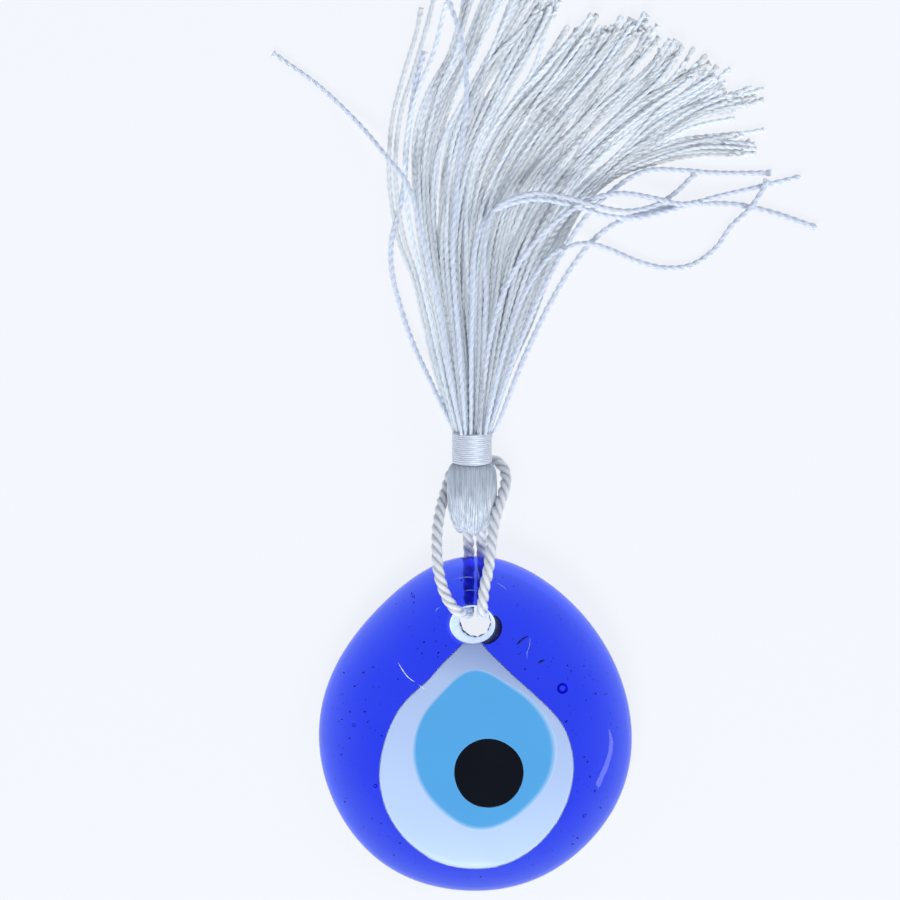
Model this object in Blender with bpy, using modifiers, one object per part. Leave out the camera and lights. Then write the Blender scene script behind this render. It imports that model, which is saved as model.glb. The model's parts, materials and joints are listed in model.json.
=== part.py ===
"""Evil eye ornament: a pressed glass drop hung on a twisted cord from a silky tassel.

It lies on its back on a table. Z is the table's normal, Y runs from the drop to the tassel, and the
origin is the middle of the footprint, at table height. The drop is four glasses, pressed one into
another. The cord goes up through its hole as two strands, over the bar of glass above the hole, and
round behind the tassel's neck, and its knotted ends are inside the tassel's head.
"""

import math

import bmesh
import bpy
from mathutils import Vector

MM = 0.001

# Glass drop
DROP_WIDTH = 50.1 * MM
DROP_HEIGHT = 53.6 * MM
DROP_THICKNESS = 6.0 * MM  # in the middle
SHOULDER_THICKNESS = 5.0 * MM  # where the front starts to round over
BACK_EDGE_RADIUS = 1.2 * MM
FRONT_EDGE_RADIUS = 2.8 * MM
HOLE_FROM_TOP = 10.9 * MM  # centre of the hole to the drop's top edge
HOLE_PLAY = 0.7 * MM  # radial room round the two strands, at the back
HOLE_FLARE = (1.25 * MM, 0.7 * MM)  # how much wider and taller the hole is at the front
HOLE_LEAN = (-0.6 * MM, -0.2 * MM)  # the front opening's centre from the back one's
HOLE_CHAMFER = 0.5 * MM  # ground off the hole's back edge

# Layers pressed into the front of the drop
WHITE_WIDTH = 30.9 * MM
WHITE_SIDE = 0.15 * MM  # its middle, to the right of the drop's
WHITE_FROM_BOTTOM = 3.4 * MM
WHITE_TIP_PAST_HOLE = 1.4 * MM  # how far its tip would go up into the hole
WHITE_DEPTH = 2.5 * MM
LIGHT_LEFT = 5.2 * MM  # white showing at the left, right, top and bottom of the light blue
LIGHT_RIGHT = 2.7 * MM
LIGHT_TOP = 5.4 * MM
LIGHT_BOTTOM = 6.1 * MM
LIGHT_DEPTH = 1.4 * MM
PUPIL_DIAMETER = 11.2 * MM
PUPIL_SIDE = 0.75 * MM  # its middle, to the right of the light blue's
PUPIL_BOTTOM = 3.95 * MM  # light blue showing below it
PUPIL_DEPTH = 0.6 * MM
GAP = 0.3 * MM  # between pieces that touch

# Cord
CORD_DIAMETER = 1.8 * MM
CORD_STEP = 1.2 * CORD_DIAMETER
CORD_BEND = 2.4 * MM  # radius of the strands' two bends round the bar above the hole
CORD_IN_HOLE = 0.55 * MM  # the strands' height above the hole's centre where they come through
STRANDS_APART = 2.1 * MM

# Tassel
NECK_RADIUS = 3.2 * MM
BINDING_THICKNESS = 0.35 * MM
BINDING_LENGTH = 5.0 * MM
HEAD_LENGTH = 11.1 * MM
NECK_FROM_HOLE = 25.7 * MM
NECK_X = -0.3 * MM
LIFT_FROM_HEAD = 1.7 * MM  # the tassel lifts by a bend in the cord this far before its head
HEAD_SLOPE = math.radians(10)  # the neck lies on the cord, the head's fold on the table
KNOT_RADIUS = 2.0 * MM
SKIRT_BUNCHES = 6
SKIRT_ROOT_HEIGHT = 5.4 * MM
SKIRT_TIP_HEIGHT = 3.0 * MM
SKIRT_LANDS = 0.3  # share of its length at which the skirt's underside meets the table
THREAD_DIAMETER = 0.8 * MM

# The hole's centre in the finished frame. Everything is placed from it.
HOLE_X = -11.0 * MM
HOLE_Y = -28.4 * MM

OUTLINE_STEPS = 3  # points a span on the outlines

# Outlines in units of half the width and half the height, clockwise from the top
DROP_OUTLINE = [
    (0.00, 1.00), (0.20, 0.97), (0.38, 0.89), (0.66, 0.68), (0.88, 0.37), (0.99, 0.02), (0.95, -0.36),
    (0.75, -0.68), (0.41, -0.92), (0.02, -1.00), (-0.38, -0.94), (-0.71, -0.74), (-0.93, -0.41),
    (-1.00, -0.05), (-0.92, 0.29), (-0.72, 0.59), (-0.43, 0.85), (-0.20, 0.97),
]  # fmt: skip
WHITE_OUTLINE = [
    (-0.07, 1.00), (0.02, 0.98), (0.07, 0.89), (0.18, 0.78), (0.53, 0.55), (0.90, 0.21), (1.00, -0.18),
    (0.89, -0.57), (0.53, -0.88), (0.08, -1.00), (-0.40, -0.94), (-0.81, -0.69), (-1.00, -0.19),
    (-0.83, 0.31), (-0.39, 0.73), (-0.20, 0.89), (-0.15, 0.98),
]  # fmt: skip
LIGHT_OUTLINE = [
    (-0.12, 1.00), (0.13, 0.93), (0.45, 0.76), (0.77, 0.53), (1.00, 0.01), (0.80, -0.61), (0.51, -0.85),
    (-0.12, -1.00), (-0.70, -0.75), (-1.00, -0.16), (-0.86, 0.40), (-0.64, 0.66), (-0.38, 0.90),
]  # fmt: skip

# The cord's left and right strands after the bar: (x, y) from the hole's centre in millimetres, and
# the height as a share of the way from lying on the table, 0, to lying on the drop's front, 1
LEFT_STRAND = [
    (-3.3, 5.2, 1.00), (-4.9, 8.2, 1.00), (-5.6, 11.4, 0.93), (-6.0, 15.2, 0.77), (-6.0, 18.4, 0.55),
    (-5.8, 21.4, 0.28), (-4.3, 24.2, 0.09), (-1.7, 25.7, 0.00),
]  # fmt: skip
RIGHT_STRAND = [
    (1.5, 5.2, 1.00), (2.1, 8.4, 1.00), (2.9, 11.4, 0.93), (3.9, 14.4, 0.80), (5.0, 17.4, 0.62),
    (5.6, 20.4, 0.42), (5.4, 23.4, 0.20), (3.9, 25.6, 0.05), (1.3, 26.3, 0.00),
]  # fmt: skip

# The skirt's fan, left to right: lines that its threads follow, (x, y) from the hole in millimetres
FAN = [
    [(-3.2, 31.6), (-6.8, 42.4), (-9.8, 54.9), (-13.7, 68.4), (-13.0, 83.4), (-9.1, 98.0)],
    [(-1.8, 31.6), (-3.4, 42.9), (-5.0, 56.4), (-5.3, 69.4), (-1.0, 83.9), (7.2, 100.4)],
    [(-0.2, 31.6), (0.2, 43.4), (0.5, 56.4), (2.7, 69.4), (9.7, 81.9), (20.7, 96.4)],
    [(1.3, 31.6), (3.5, 43.9), (6.5, 57.4), (12.5, 69.9), (22.2, 80.4), (32.2, 90.9)],
    [(2.6, 31.6), (6.2, 41.9), (11.2, 53.9), (17.7, 66.9), (28.6, 73.9), (43.9, 75.5)],
]  # fmt: skip

# Threads that have come away from the skirt: (x, y) from the hole and the height, in millimetres
STRAYS = {
    "stray_left_long": [
        (-2.4, 32.2, 9.4), (-4.3, 40.4, 7.6), (-5.8, 50.4, 6.2), (-8.3, 60.4, 5.6), (-10.6, 69.4, 5.2),
        (-14.4, 74.7, 3.6), (-19.1, 80.3, 1.7), (-25.2, 86.1, 0.6), (-32.5, 91.3, 0.45),
    ],
    "stray_left_bow": [
        (-4.3, 31.9, 6.0), (-7.9, 39.4, 3.5), (-10.8, 44.9, 1.7), (-12.9, 51.6, 0.6), (-14.2, 57.1, 0.45),
        (-15.0, 62.6, 0.45), (-15.3, 70.0, 0.45), (-14.9, 77.4, 0.45), (-13.7, 85.4, 0.45), (-11.3, 93.4, 0.45),
    ],
    "stray_right_short": [
        (0.7, 32.2, 9.8), (1.3, 42.4, 7.4), (1.6, 52.4, 6.6), (2.0, 60.4, 6.2), (4.0, 66.6, 6.0),
        (9.0, 69.2, 6.5), (14.5, 68.8, 6.5), (19.4, 67.4, 5.5), (24.3, 66.3, 3.8), (28.8, 66.7, 2.8),
        (32.2, 69.0, 1.3), (35.6, 72.1, 0.5),
    ],
    "stray_right_long": [
        (-0.9, 32.2, 9.9), (-0.7, 42.4, 7.6), (-0.4, 52.4, 6.9), (0.2, 61.4, 6.2), (2.4, 68.2, 5.6),
        (8.6, 71.0, 5.0), (15.0, 70.2, 4.8), (18.6, 68.2, 4.6), (21.4, 66.6, 3.2), (24.8, 65.2, 1.9),
        (31.0, 66.3, 1.7), (38.4, 68.2, 1.5), (43.0, 69.3, 0.7), (47.0, 70.3, 0.45), (52.1, 71.5, 0.45),
    ],
    "stray_right_low": [
        (3.6, 32.0, 6.2), (7.6, 42.1, 3.2), (12.6, 52.4, 1.0), (17.9, 60.3, 0.5), (22.5, 64.0, 0.45),
        (27.6, 65.9, 0.45), (32.9, 66.9, 0.45), (39.0, 67.2, 0.45), (43.9, 66.7, 0.45), (49.4, 65.2, 0.45),
        (54.6, 63.3, 0.45),
    ],
    "stray_right_loop": [
        (2.0, 32.2, 9.4), (4.2, 42.4, 7.2), (7.2, 51.4, 6.2), (11.2, 57.9, 5.2), (14.5, 60.0, 3.8),
        (17.9, 60.7, 2.2), (21.3, 59.9, 0.9), (26.1, 57.9, 0.5), (30.4, 56.9, 0.45), (34.7, 57.4, 0.5),
        (38.4, 60.0, 0.9), (40.8, 63.4, 1.6), (43.9, 66.4, 1.9), (46.0, 69.5, 1.9), (46.6, 71.0, 1.9),
    ],
}  # fmt: skip

BLUE_GLASS = ("cobalt_glass", (0.012, 0.022, 0.62), 0.05)
WHITE_GLASS = ("white_glass", (0.72, 0.80, 0.92), 0.08)
LIGHT_GLASS = ("light_blue_glass", (0.10, 0.42, 0.82), 0.08)
BLACK_GLASS = ("black_glass", (0.004, 0.005, 0.008), 0.06)
CORD_SILK = ("cord_silk", (0.80, 0.84, 0.90), 0.45)
THREAD_SILK = ("thread_silk", (0.76, 0.81, 0.88), 0.40)


def clear_scene():
    for obj in list(bpy.data.objects):
        bpy.data.objects.remove(obj)


def new_collection(name, hidden):
    collection = bpy.data.collections.new(name)
    bpy.context.scene.collection.children.link(collection)
    collection.hide_render = hidden
    return collection


def material(finish):
    name, colour, roughness = finish
    found = bpy.data.materials.get(name)
    if found:
        return found
    made = bpy.data.materials.new(name)
    made.use_nodes = True
    shader = made.node_tree.nodes["Principled BSDF"]
    shader.inputs["Base Color"].default_value = (*colour, 1)
    shader.inputs["Roughness"].default_value = roughness
    shader.inputs["Metallic"].default_value = 0
    return made


def add(name, data, finish, parent):
    """A piece of the ornament, placed by its parent empty."""
    obj = bpy.data.objects.new(name, data)
    data.materials.append(material(finish))
    parts.objects.link(obj)
    obj.parent = parent
    return obj


def add_cutter(name, data, parent):
    obj = bpy.data.objects.new(name, data)
    cutters.objects.link(obj)
    obj.parent = parent
    obj.hide_render = True
    obj.display_type = "WIRE"
    return obj


def cut(obj, cutter, operation="DIFFERENCE"):
    modifier = obj.modifiers.new(cutter.name, "BOOLEAN")
    modifier.operation = operation
    modifier.object = cutter
    modifier.solver = "EXACT"


def smooth(points, steps, closed=False):
    """Points along the Catmull-Rom curve through these points, this many to a span."""
    points = [Vector(p) for p in points]
    if closed:
        held = [points[-1], *points, points[0], points[1]]
    else:
        held = [2 * points[0] - points[1], *points, 2 * points[-1] - points[-2]]
    found = []
    for before, start, end, after in zip(held, held[1:], held[2:], held[3:]):
        for i in range(steps):
            t = i / steps
            found.append(
                0.5 * (2 * start + (end - before) * t
                       + (2 * before - 5 * start + 4 * end - after) * t**2
                       + (3 * start - before - 3 * end + after) * t**3)
            )  # fmt: skip
    return found if closed else [*found, points[-1]]


def spaced(points, count):
    """Points evenly spaced by length along a line of points, both ends among them."""
    lengths = [0.0]
    for start, end in zip(points, points[1:]):
        lengths.append(lengths[-1] + (end - start).length)
    found, span = [], 0
    for i in range(count):
        wanted = lengths[-1] * i / (count - 1)
        while span < len(points) - 2 and lengths[span + 1] < wanted:
            span += 1
        share = (wanted - lengths[span]) / (lengths[span + 1] - lengths[span])
        found.append(points[span].lerp(points[span + 1], min(share, 1.0)))
    return found


def outline(points, width, height, middle):
    """A closed outline, in the drop's own plane."""
    sized = [(middle[0] + x * width / 2, middle[1] + y * height / 2, 0) for x, y in points]
    return smooth(sized, OUTLINE_STEPS, closed=True)


def grown(points, by):
    """The outline moved outwards by a distance."""
    found = []
    for i, point in enumerate(points):
        along = points[(i + 1) % len(points)] - points[i - 1]
        outward = Vector((-along.y, along.x, 0)).normalized()
        found.append(point + outward * by)
    return found


def ellipse(middle, radii, z, count=40):
    turns = [2 * math.pi * i / count for i in range(count)]
    return [
        Vector((middle[0] + radii[0] * math.sin(a), middle[1] + radii[1] * math.cos(a), z))
        for a in turns
    ]


def loft(name, rings):
    """A closed mesh skinned through rings of equal count, with a flat cap on each end."""
    mesh = bpy.data.meshes.new(name)
    bm = bmesh.new()
    rows = [[bm.verts.new(point) for point in ring] for ring in rings]
    count = len(rows[0])
    for low, high in zip(rows, rows[1:]):
        for i in range(count):
            bm.faces.new((low[i - 1], low[i], high[i], high[i - 1]))
    bm.faces.new(rows[0])
    bm.faces.new(rows[-1])
    bmesh.ops.recalc_face_normals(bm, faces=bm.faces)
    bm.to_mesh(mesh)
    bm.free()
    mesh.shade_smooth()
    mesh.set_sharp_from_angle(angle=math.radians(35))
    return mesh


def prism(name, points, low, high):
    """A flat outline extruded from low to high, as a mesh a Boolean can use."""
    curve = bpy.data.curves.new(name, "CURVE")
    curve.dimensions = "2D"
    curve.fill_mode = "BOTH"
    curve.extrude = (high - low) / 2
    spline = curve.splines.new("POLY")
    spline.points.add(len(points) - 1)
    for held, point in zip(spline.points, points):
        held.co = (point.x, point.y, 0, 1)
    spline.use_cyclic_u = True
    shape = bpy.data.objects.new(name, curve)
    bpy.context.scene.collection.objects.link(shape)
    graph = bpy.context.evaluated_depsgraph_get()
    mesh = bpy.data.meshes.new_from_object(shape.evaluated_get(graph), depsgraph=graph)
    bpy.data.objects.remove(shape)
    bpy.data.curves.remove(curve)
    bm = bmesh.new()
    bm.from_mesh(mesh)
    bmesh.ops.remove_doubles(bm, verts=bm.verts, dist=0.001 * MM)
    bmesh.ops.translate(bm, verts=bm.verts, vec=(0, 0, (low + high) / 2))
    bmesh.ops.recalc_face_normals(bm, faces=bm.faces)
    bm.to_mesh(mesh)
    bm.free()
    return mesh


def tube(name, points, diameter, finish, parent):
    """A round cord along a line of points."""
    curve = bpy.data.curves.new(name, "CURVE")
    curve.dimensions = "3D"
    curve.bevel_depth = diameter / 2
    curve.bevel_resolution = 2
    curve.use_fill_caps = True
    spline = curve.splines.new("POLY")
    spline.points.add(len(points) - 1)
    for held, point in zip(spline.points, points):
        held.co = (*point, 1)
    return add(name, curve, finish, parent)


def inset(points, by, share=1.0, z=0.0):
    """An outline drawn in towards the drop's middle by a distance, and then by a share."""
    return [Vector((p * (1 - by / p.length) * share)[:2]).to_3d() + Vector((0, 0, z)) for p in points]


def drop_rings(edge):
    """The drop's sections from the middle of its flat back, round its edge, to the top of its front."""
    rings = [inset(edge, BACK_EDGE_RADIUS, share) for share in (0.16, 0.45, 0.75)]
    for step in range(4):
        turn = math.radians(30 * step)
        rings.append(
            inset(edge, BACK_EDGE_RADIUS * (1 - math.sin(turn)), 1, BACK_EDGE_RADIUS * (1 - math.cos(turn)))
        )
    for step in range(5):
        turn = math.radians(22.5 * step)
        height = SHOULDER_THICKNESS - FRONT_EDGE_RADIUS * (1 - math.sin(turn))
        rings.append(inset(edge, FRONT_EDGE_RADIUS * (1 - math.cos(turn)), 1, height))
    for share in (0.8, 0.6, 0.4, 0.2):
        height = DROP_THICKNESS - (DROP_THICKNESS - SHOULDER_THICKNESS) * share**2
        rings.append(inset(edge, FRONT_EDGE_RADIUS, share, height))
    return rings


def build_drop(frame):
    """The four glasses. The drop's own plane has its back at z = 0 and its middle at the origin."""
    edge = outline(DROP_OUTLINE, DROP_WIDTH, DROP_HEIGHT, (0, 0))
    whole = loft("drop_whole", drop_rings(edge))
    above = DROP_THICKNESS + 1 * MM

    hole_y = DROP_HEIGHT / 2 - HOLE_FROM_TOP
    back_radius = CORD_DIAMETER + HOLE_PLAY
    rings = []
    for z, wider in ((-HOLE_CHAMFER, 2 * HOLE_CHAMFER), (HOLE_CHAMFER, 0), (above, 0)):
        share = z / DROP_THICKNESS
        middle = (HOLE_LEAN[0] * (share - 0.5), hole_y + HOLE_LEAN[1] * (share - 0.5))
        radii = [back_radius + wider + flare * share for flare in HOLE_FLARE]
        rings.append(ellipse(middle, radii, z))
    hole = add_cutter("hole_cutter", loft("hole_cutter", rings), frame)

    white_low = -DROP_HEIGHT / 2 + WHITE_FROM_BOTTOM
    white_high = hole_y - back_radius + WHITE_TIP_PAST_HOLE
    white_middle = (WHITE_SIDE, (white_low + white_high) / 2)
    white = outline(WHITE_OUTLINE, WHITE_WIDTH, white_high - white_low, white_middle)

    light_width = WHITE_WIDTH - LIGHT_LEFT - LIGHT_RIGHT
    light_low = white_low + LIGHT_BOTTOM
    light_high = white_high - LIGHT_TOP
    light_middle = (WHITE_SIDE + (LIGHT_LEFT - LIGHT_RIGHT) / 2, (light_low + light_high) / 2)
    light = outline(LIGHT_OUTLINE, light_width, light_high - light_low, light_middle)

    pupil_middle = (light_middle[0] + PUPIL_SIDE, light_low + PUPIL_BOTTOM + PUPIL_DIAMETER / 2)
    pupil = ellipse(pupil_middle, (PUPIL_DIAMETER / 2, PUPIL_DIAMETER / 2), 0)

    blank = add_cutter("drop_blank", whole.copy(), frame)
    layers = (
        ("white", white, WHITE_DEPTH, WHITE_GLASS),
        ("light_blue", light, LIGHT_DEPTH, LIGHT_GLASS),
        ("pupil", pupil, PUPIL_DEPTH, BLACK_GLASS),
    )
    body = add("blue_glass", whole, BLUE_GLASS, frame)
    holder = body
    for name, points, depth, finish in layers:
        floor = DROP_THICKNESS - depth
        pocket = add_cutter(
            name + "_pocket", prism(name + "_pocket", grown(points, GAP), floor - GAP, above), frame
        )
        cut(holder, pocket)
        holder = add(name + "_glass", prism(name + "_glass", points, floor, above), finish, frame)
        cut(holder, blank, "INTERSECT")
        if name == "white":
            cut(holder, hole)
    cut(body, hole)


def drop_front(y):
    """Height of the drop's front above its back, on its middle line, at y from its own middle."""
    share = min(1.0, abs(y) / (DROP_HEIGHT / 2 - FRONT_EDGE_RADIUS))
    return DROP_THICKNESS - (DROP_THICKNESS - SHOULDER_THICKNESS) * share**2


def bar_edge():
    """From the hole's centre to where the flat back of the bar above it starts."""
    return CORD_DIAMETER + HOLE_PLAY + HOLE_CHAMFER


def drop_rest():
    """(tilt, lift): the drop leans on the cord under its bar, with its bottom edge on the table."""
    bottom = DROP_HEIGHT / 2 - BACK_EDGE_RADIUS
    contact = DROP_HEIGHT / 2 - HOLE_FROM_TOP + bar_edge()
    tilt = math.atan2(CORD_DIAMETER + GAP, contact + bottom)
    return tilt, bottom * math.sin(tilt)


def neck_height():
    return CORD_DIAMETER + GAP + NECK_RADIUS


def strand_heights():
    """Heights of the strands' middle where they lie on the table and where they lie on the bar."""
    tilt, lift = drop_rest()
    y = DROP_HEIGHT / 2 - HOLE_FROM_TOP + bar_edge()
    front = lift + y * math.sin(tilt) + drop_front(y) * math.cos(tilt)
    return CORD_DIAMETER / 2, front + GAP + CORD_DIAMETER / 2


def head_axis_height(y):
    """Height of the head's axis at y from the hole."""
    return neck_height() + (y - NECK_FROM_HOLE) * math.tan(HEAD_SLOPE)


def strand_start(side, x_high):
    """One strand from the knot, under the bar, and up through the hole to the drop's front."""
    x = side * STRANDS_APART / 2
    low, high = strand_heights()
    mouth = NECK_FROM_HOLE - HEAD_LENGTH
    points = [
        (x + NECK_X, mouth + 1.5 * MM, head_axis_height(mouth + 1.5 * MM)),
        (x + NECK_X / 2, mouth - 0.8 * MM, head_axis_height(mouth) - 0.5 * MM),
        (x, mouth - 3.6 * MM, low + 0.4 * MM),
        (x, mouth - 7.0 * MM, low),
    ]
    middle = CORD_IN_HOLE + CORD_BEND
    for step in range(6):
        turn = math.radians(45 * (step if step < 3 else step - 1))
        centre = low + CORD_BEND if step < 3 else high - CORD_BEND
        lean = x + (x_high - x) * (step / 6) ** 3
        points.append((lean, middle - CORD_BEND * math.sin(turn), centre - CORD_BEND * math.cos(turn)))
    return points


def front_run(strand):
    low, high = strand_heights()
    return [(x * MM, y * MM, low + (high - low) * share) for x, y, share in strand]


def build_cord(frame):
    """One cord: up through the hole, round behind the neck, and back down through the hole."""
    left = strand_start(-1, LEFT_STRAND[0][0] * MM) + front_run(LEFT_STRAND)
    right = strand_start(1, RIGHT_STRAND[0][0] * MM) + front_run(RIGHT_STRAND)
    route = smooth(left + right[::-1], 12)
    length = sum((b - a).length for a, b in zip(route, route[1:]))
    points = spaced(route, round(length / CORD_STEP))
    for point in points:
        point.z = max(point.z, CORD_DIAMETER / 2)
    tube("hanging_cord", points, CORD_DIAMETER, CORD_SILK, frame)


def build_head(frame):
    """The folded threads, their binding, and the cord's knot inside the fold. Y is the head's axis."""
    core = NECK_RADIUS - BINDING_THICKNESS - GAP
    fold = -HEAD_LENGTH
    sections = (
        (fold, 0.80, 0.74), (fold + 0.4 * MM, 1.04, 0.96), (fold + 1.6 * MM, 1.24, 1.12),
        (fold + 3.6 * MM, 1.32, 1.16), (fold + 6.1 * MM, 1.35, 1.15), (fold + 8.1 * MM, 1.27, 1.09),
        (-1.2 * MM, 1.09, 1.01), (-GAP, 0.97, 0.97),
    )  # fmt: skip
    rings = []
    for y, wide, high in sections:
        ring = ellipse((0, 0), (wide * NECK_RADIUS, high * NECK_RADIUS), 0, 28)
        rings.append([Vector((p.x, y, p.y)) for p in ring])
    for y in (-GAP, BINDING_LENGTH):
        rings.append([Vector((p.x, y, p.y)) for p in ellipse((0, 0), (core, core), 0, 28)])
    head = add("tassel_head", loft("tassel_head", rings), THREAD_SILK, frame)

    room = KNOT_RADIUS + GAP
    knot_y = fold + 1.5 * MM + GAP + KNOT_RADIUS
    cut(head, add_cutter("knot_pocket", ball("knot_pocket", room, knot_y), frame))
    wide = (STRANDS_APART + CORD_DIAMETER) / 2 + GAP
    slot = []
    for y in (fold - 2 * MM, knot_y):
        slot.append([Vector((p.x, y, p.y)) for p in ellipse((0, 0), (wide * 1.15, room * 0.85), 0, 24)])
    cut(head, add_cutter("cord_slot", loft("cord_slot", slot), frame))
    add("cord_knot", ball("cord_knot", KNOT_RADIUS, knot_y), CORD_SILK, frame)

    binding = add("neck_binding", binding_profile(), THREAD_SILK, frame)
    binding.rotation_euler = (math.radians(-90), 0, 0)
    turn = binding.modifiers.new("turn", "SCREW")
    turn.steps = turn.render_steps = 32
    turn.merge_threshold = 0.01 * MM
    turn.use_merge_vertices = True


def ball(name, radius, y):
    mesh = bpy.data.meshes.new(name)
    bm = bmesh.new()
    bmesh.ops.create_uvsphere(bm, u_segments=20, v_segments=12, radius=radius)
    bmesh.ops.translate(bm, verts=bm.verts, vec=(0, y, 0))
    bm.to_mesh(mesh)
    bm.free()
    mesh.shade_smooth()
    return mesh


def binding_profile():
    """The binding's section, a thin strip with rounded ends, at +X and down its outer side."""
    inner = NECK_RADIUS - BINDING_THICKNESS
    bead = BINDING_THICKNESS / 3
    section = (
        (NECK_RADIUS - bead, BINDING_LENGTH), (NECK_RADIUS, BINDING_LENGTH - bead),
        (NECK_RADIUS, bead), (NECK_RADIUS - bead, 0), (inner, 0), (inner, BINDING_LENGTH),
    )  # fmt: skip
    mesh = bpy.data.meshes.new("neck_binding")
    edges = [(i, (i + 1) % len(section)) for i in range(len(section))]
    mesh.from_pydata([(x, 0, z) for x, z in section], edges, [])
    return mesh


def fan_lines(count):
    return [spaced(smooth([(x * MM, y * MM, 0) for x, y in line], 8), count) for line in FAN]


def fan_point(lines, across, step):
    """A point of the fan, across from 0 at its left line to 1 at its right one."""
    place = across * (len(lines) - 1)
    line = min(int(place), len(lines) - 2)
    return lines[line][step].lerp(lines[line + 1][step], place - line)


def build_skirt(frame, pivot):
    """Bunches of cut threads side by side. The skirt leaves the neck, sinks to the table and thins."""
    steps = 13
    lines = fan_lines(steps)
    spread = 2 * (NECK_RADIUS - GAP) / (lines[-1][0].x - lines[0][0].x)
    root_low = neck_height() + BINDING_LENGTH * math.sin(HEAD_SLOPE) - SKIRT_ROOT_HEIGHT / 2
    for bunch in range(SKIRT_BUNCHES):
        rings = []
        middle = (bunch + 0.5) / SKIRT_BUNCHES
        fullness = math.sqrt(1 - 0.8 * (2 * middle - 1) ** 2)
        for step in range(steps):
            share = step / (steps - 1)
            left = fan_point(lines, bunch / SKIRT_BUNCHES, step)
            right = fan_point(lines, (bunch + 1) / SKIRT_BUNCHES, step)
            if step == 0:
                left.x, right.x = left.x * spread, right.x * spread
            half = (right - left) / 2
            half *= 1 - GAP / 2 / half.length
            raised = max(0.0, 1 - share / SKIRT_LANDS) ** 2
            full = SKIRT_ROOT_HEIGHT + (SKIRT_TIP_HEIGHT - SKIRT_ROOT_HEIGHT) * share
            high = full * (fullness + (1 - fullness) * min(1.0, 2 * share))
            centre = (left + right) / 2 - pivot
            centre.z = (root_low + full / 2) * raised + high / 2 * (1 - raised)
            rings.append([
                centre + half * square(math.cos(a)) + Vector((0, 0, high / 2 * square(math.sin(a))))
                for a in (math.radians(30 * i + 15) for i in range(12))
            ])  # fmt: skip
        name = f"skirt_bunch_{bunch + 1}"
        add(name, loft(name, rings), THREAD_SILK, frame)


def square(wave):
    """A sine or cosine pushed outwards, which makes a circle into a rounded square."""
    return math.copysign(min(1.0, abs(wave) ** 0.6), wave)


def build_strays(frame, pivot):
    for name, points in STRAYS.items():
        route = smooth([Vector(point) * MM - pivot for point in points], 8)
        tube(name, spaced(route, 32), THREAD_DIAMETER, THREAD_SILK, frame)


def add_frame(name, location, slope=0, parent=None):
    frame = bpy.data.objects.new(name, None)
    frame.empty_display_size = 5 * MM
    frame.location = location
    frame.rotation_euler = (slope, 0, 0)
    frame.parent = parent
    parts.objects.link(frame)
    return frame


clear_scene()
parts = new_collection("evil_eye_ornament", hidden=False)
cutters = new_collection("cutters", hidden=True)

# The ornament's frame is on the axis that the cord swings about in the hole
ornament = add_frame("ornament", (HOLE_X, HOLE_Y, 0))
drop_tilt, drop_lift = drop_rest()
drop_middle = -(DROP_HEIGHT / 2 - HOLE_FROM_TOP)
build_drop(add_frame("drop_frame", (0, drop_middle, drop_lift), drop_tilt, ornament))
build_cord(ornament)

# The tassel lifts by the cord's bend before its head, and the skirt sways where it leaves the neck
neck = Vector((NECK_X, NECK_FROM_HOLE, neck_height()))
bend_y = NECK_FROM_HOLE - HEAD_LENGTH - LIFT_FROM_HEAD
bend = Vector((0, bend_y, sum(strand_heights()) / 2))
skirt_root = Vector((NECK_X, NECK_FROM_HOLE + BINDING_LENGTH, 0))
tassel_lift = add_frame("tassel_lift_axis", bend, 0, ornament)
build_head(add_frame("tassel_frame", neck - bend, HEAD_SLOPE, tassel_lift))
skirt_sway = add_frame("skirt_sway_axis", skirt_root - bend, 0, tassel_lift)
build_skirt(skirt_sway, skirt_root)
build_strays(skirt_sway, skirt_root)
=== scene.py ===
"""Evil eye ornament: glass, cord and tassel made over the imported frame.

Lengths are in metres, in the frame's own axes: Z up from the table, Y from the drop to the tassel.
"""

import json

import bpy
import numpy as np
from bpy.props import FloatProperty, FloatVectorProperty, IntProperty, PointerProperty
from bpy.types import Operator, Panel, PropertyGroup
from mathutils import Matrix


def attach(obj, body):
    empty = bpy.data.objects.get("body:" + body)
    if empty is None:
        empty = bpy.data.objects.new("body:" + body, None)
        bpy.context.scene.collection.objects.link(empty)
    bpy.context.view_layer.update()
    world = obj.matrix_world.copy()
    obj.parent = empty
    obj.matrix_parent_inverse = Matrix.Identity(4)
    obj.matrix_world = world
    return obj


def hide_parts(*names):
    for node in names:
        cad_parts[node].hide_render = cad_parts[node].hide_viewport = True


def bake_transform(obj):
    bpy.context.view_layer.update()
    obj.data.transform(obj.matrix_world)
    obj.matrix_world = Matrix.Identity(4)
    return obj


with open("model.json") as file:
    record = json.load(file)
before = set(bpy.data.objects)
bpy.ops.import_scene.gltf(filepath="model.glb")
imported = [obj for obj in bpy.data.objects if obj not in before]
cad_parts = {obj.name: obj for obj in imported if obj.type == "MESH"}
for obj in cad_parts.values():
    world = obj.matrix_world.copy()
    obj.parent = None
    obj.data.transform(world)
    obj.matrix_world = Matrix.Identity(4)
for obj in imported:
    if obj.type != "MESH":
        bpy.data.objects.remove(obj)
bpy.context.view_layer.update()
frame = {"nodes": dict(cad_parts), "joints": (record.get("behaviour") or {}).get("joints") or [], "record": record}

bl_info = {
    "name": "Evil Eye Ornament",
    "version": (1, 0, 0),
    "blender": (4, 5, 0),
    "location": "View3D > Sidebar > Ornament",
    "description": "Builds a glass evil eye drop on a twisted cord with a silk tassel",
    "category": "Add Mesh",
}

MM = 0.001
TAU = 2 * np.pi

# ---------------------------------------------------------------- places taken from the frame

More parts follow.
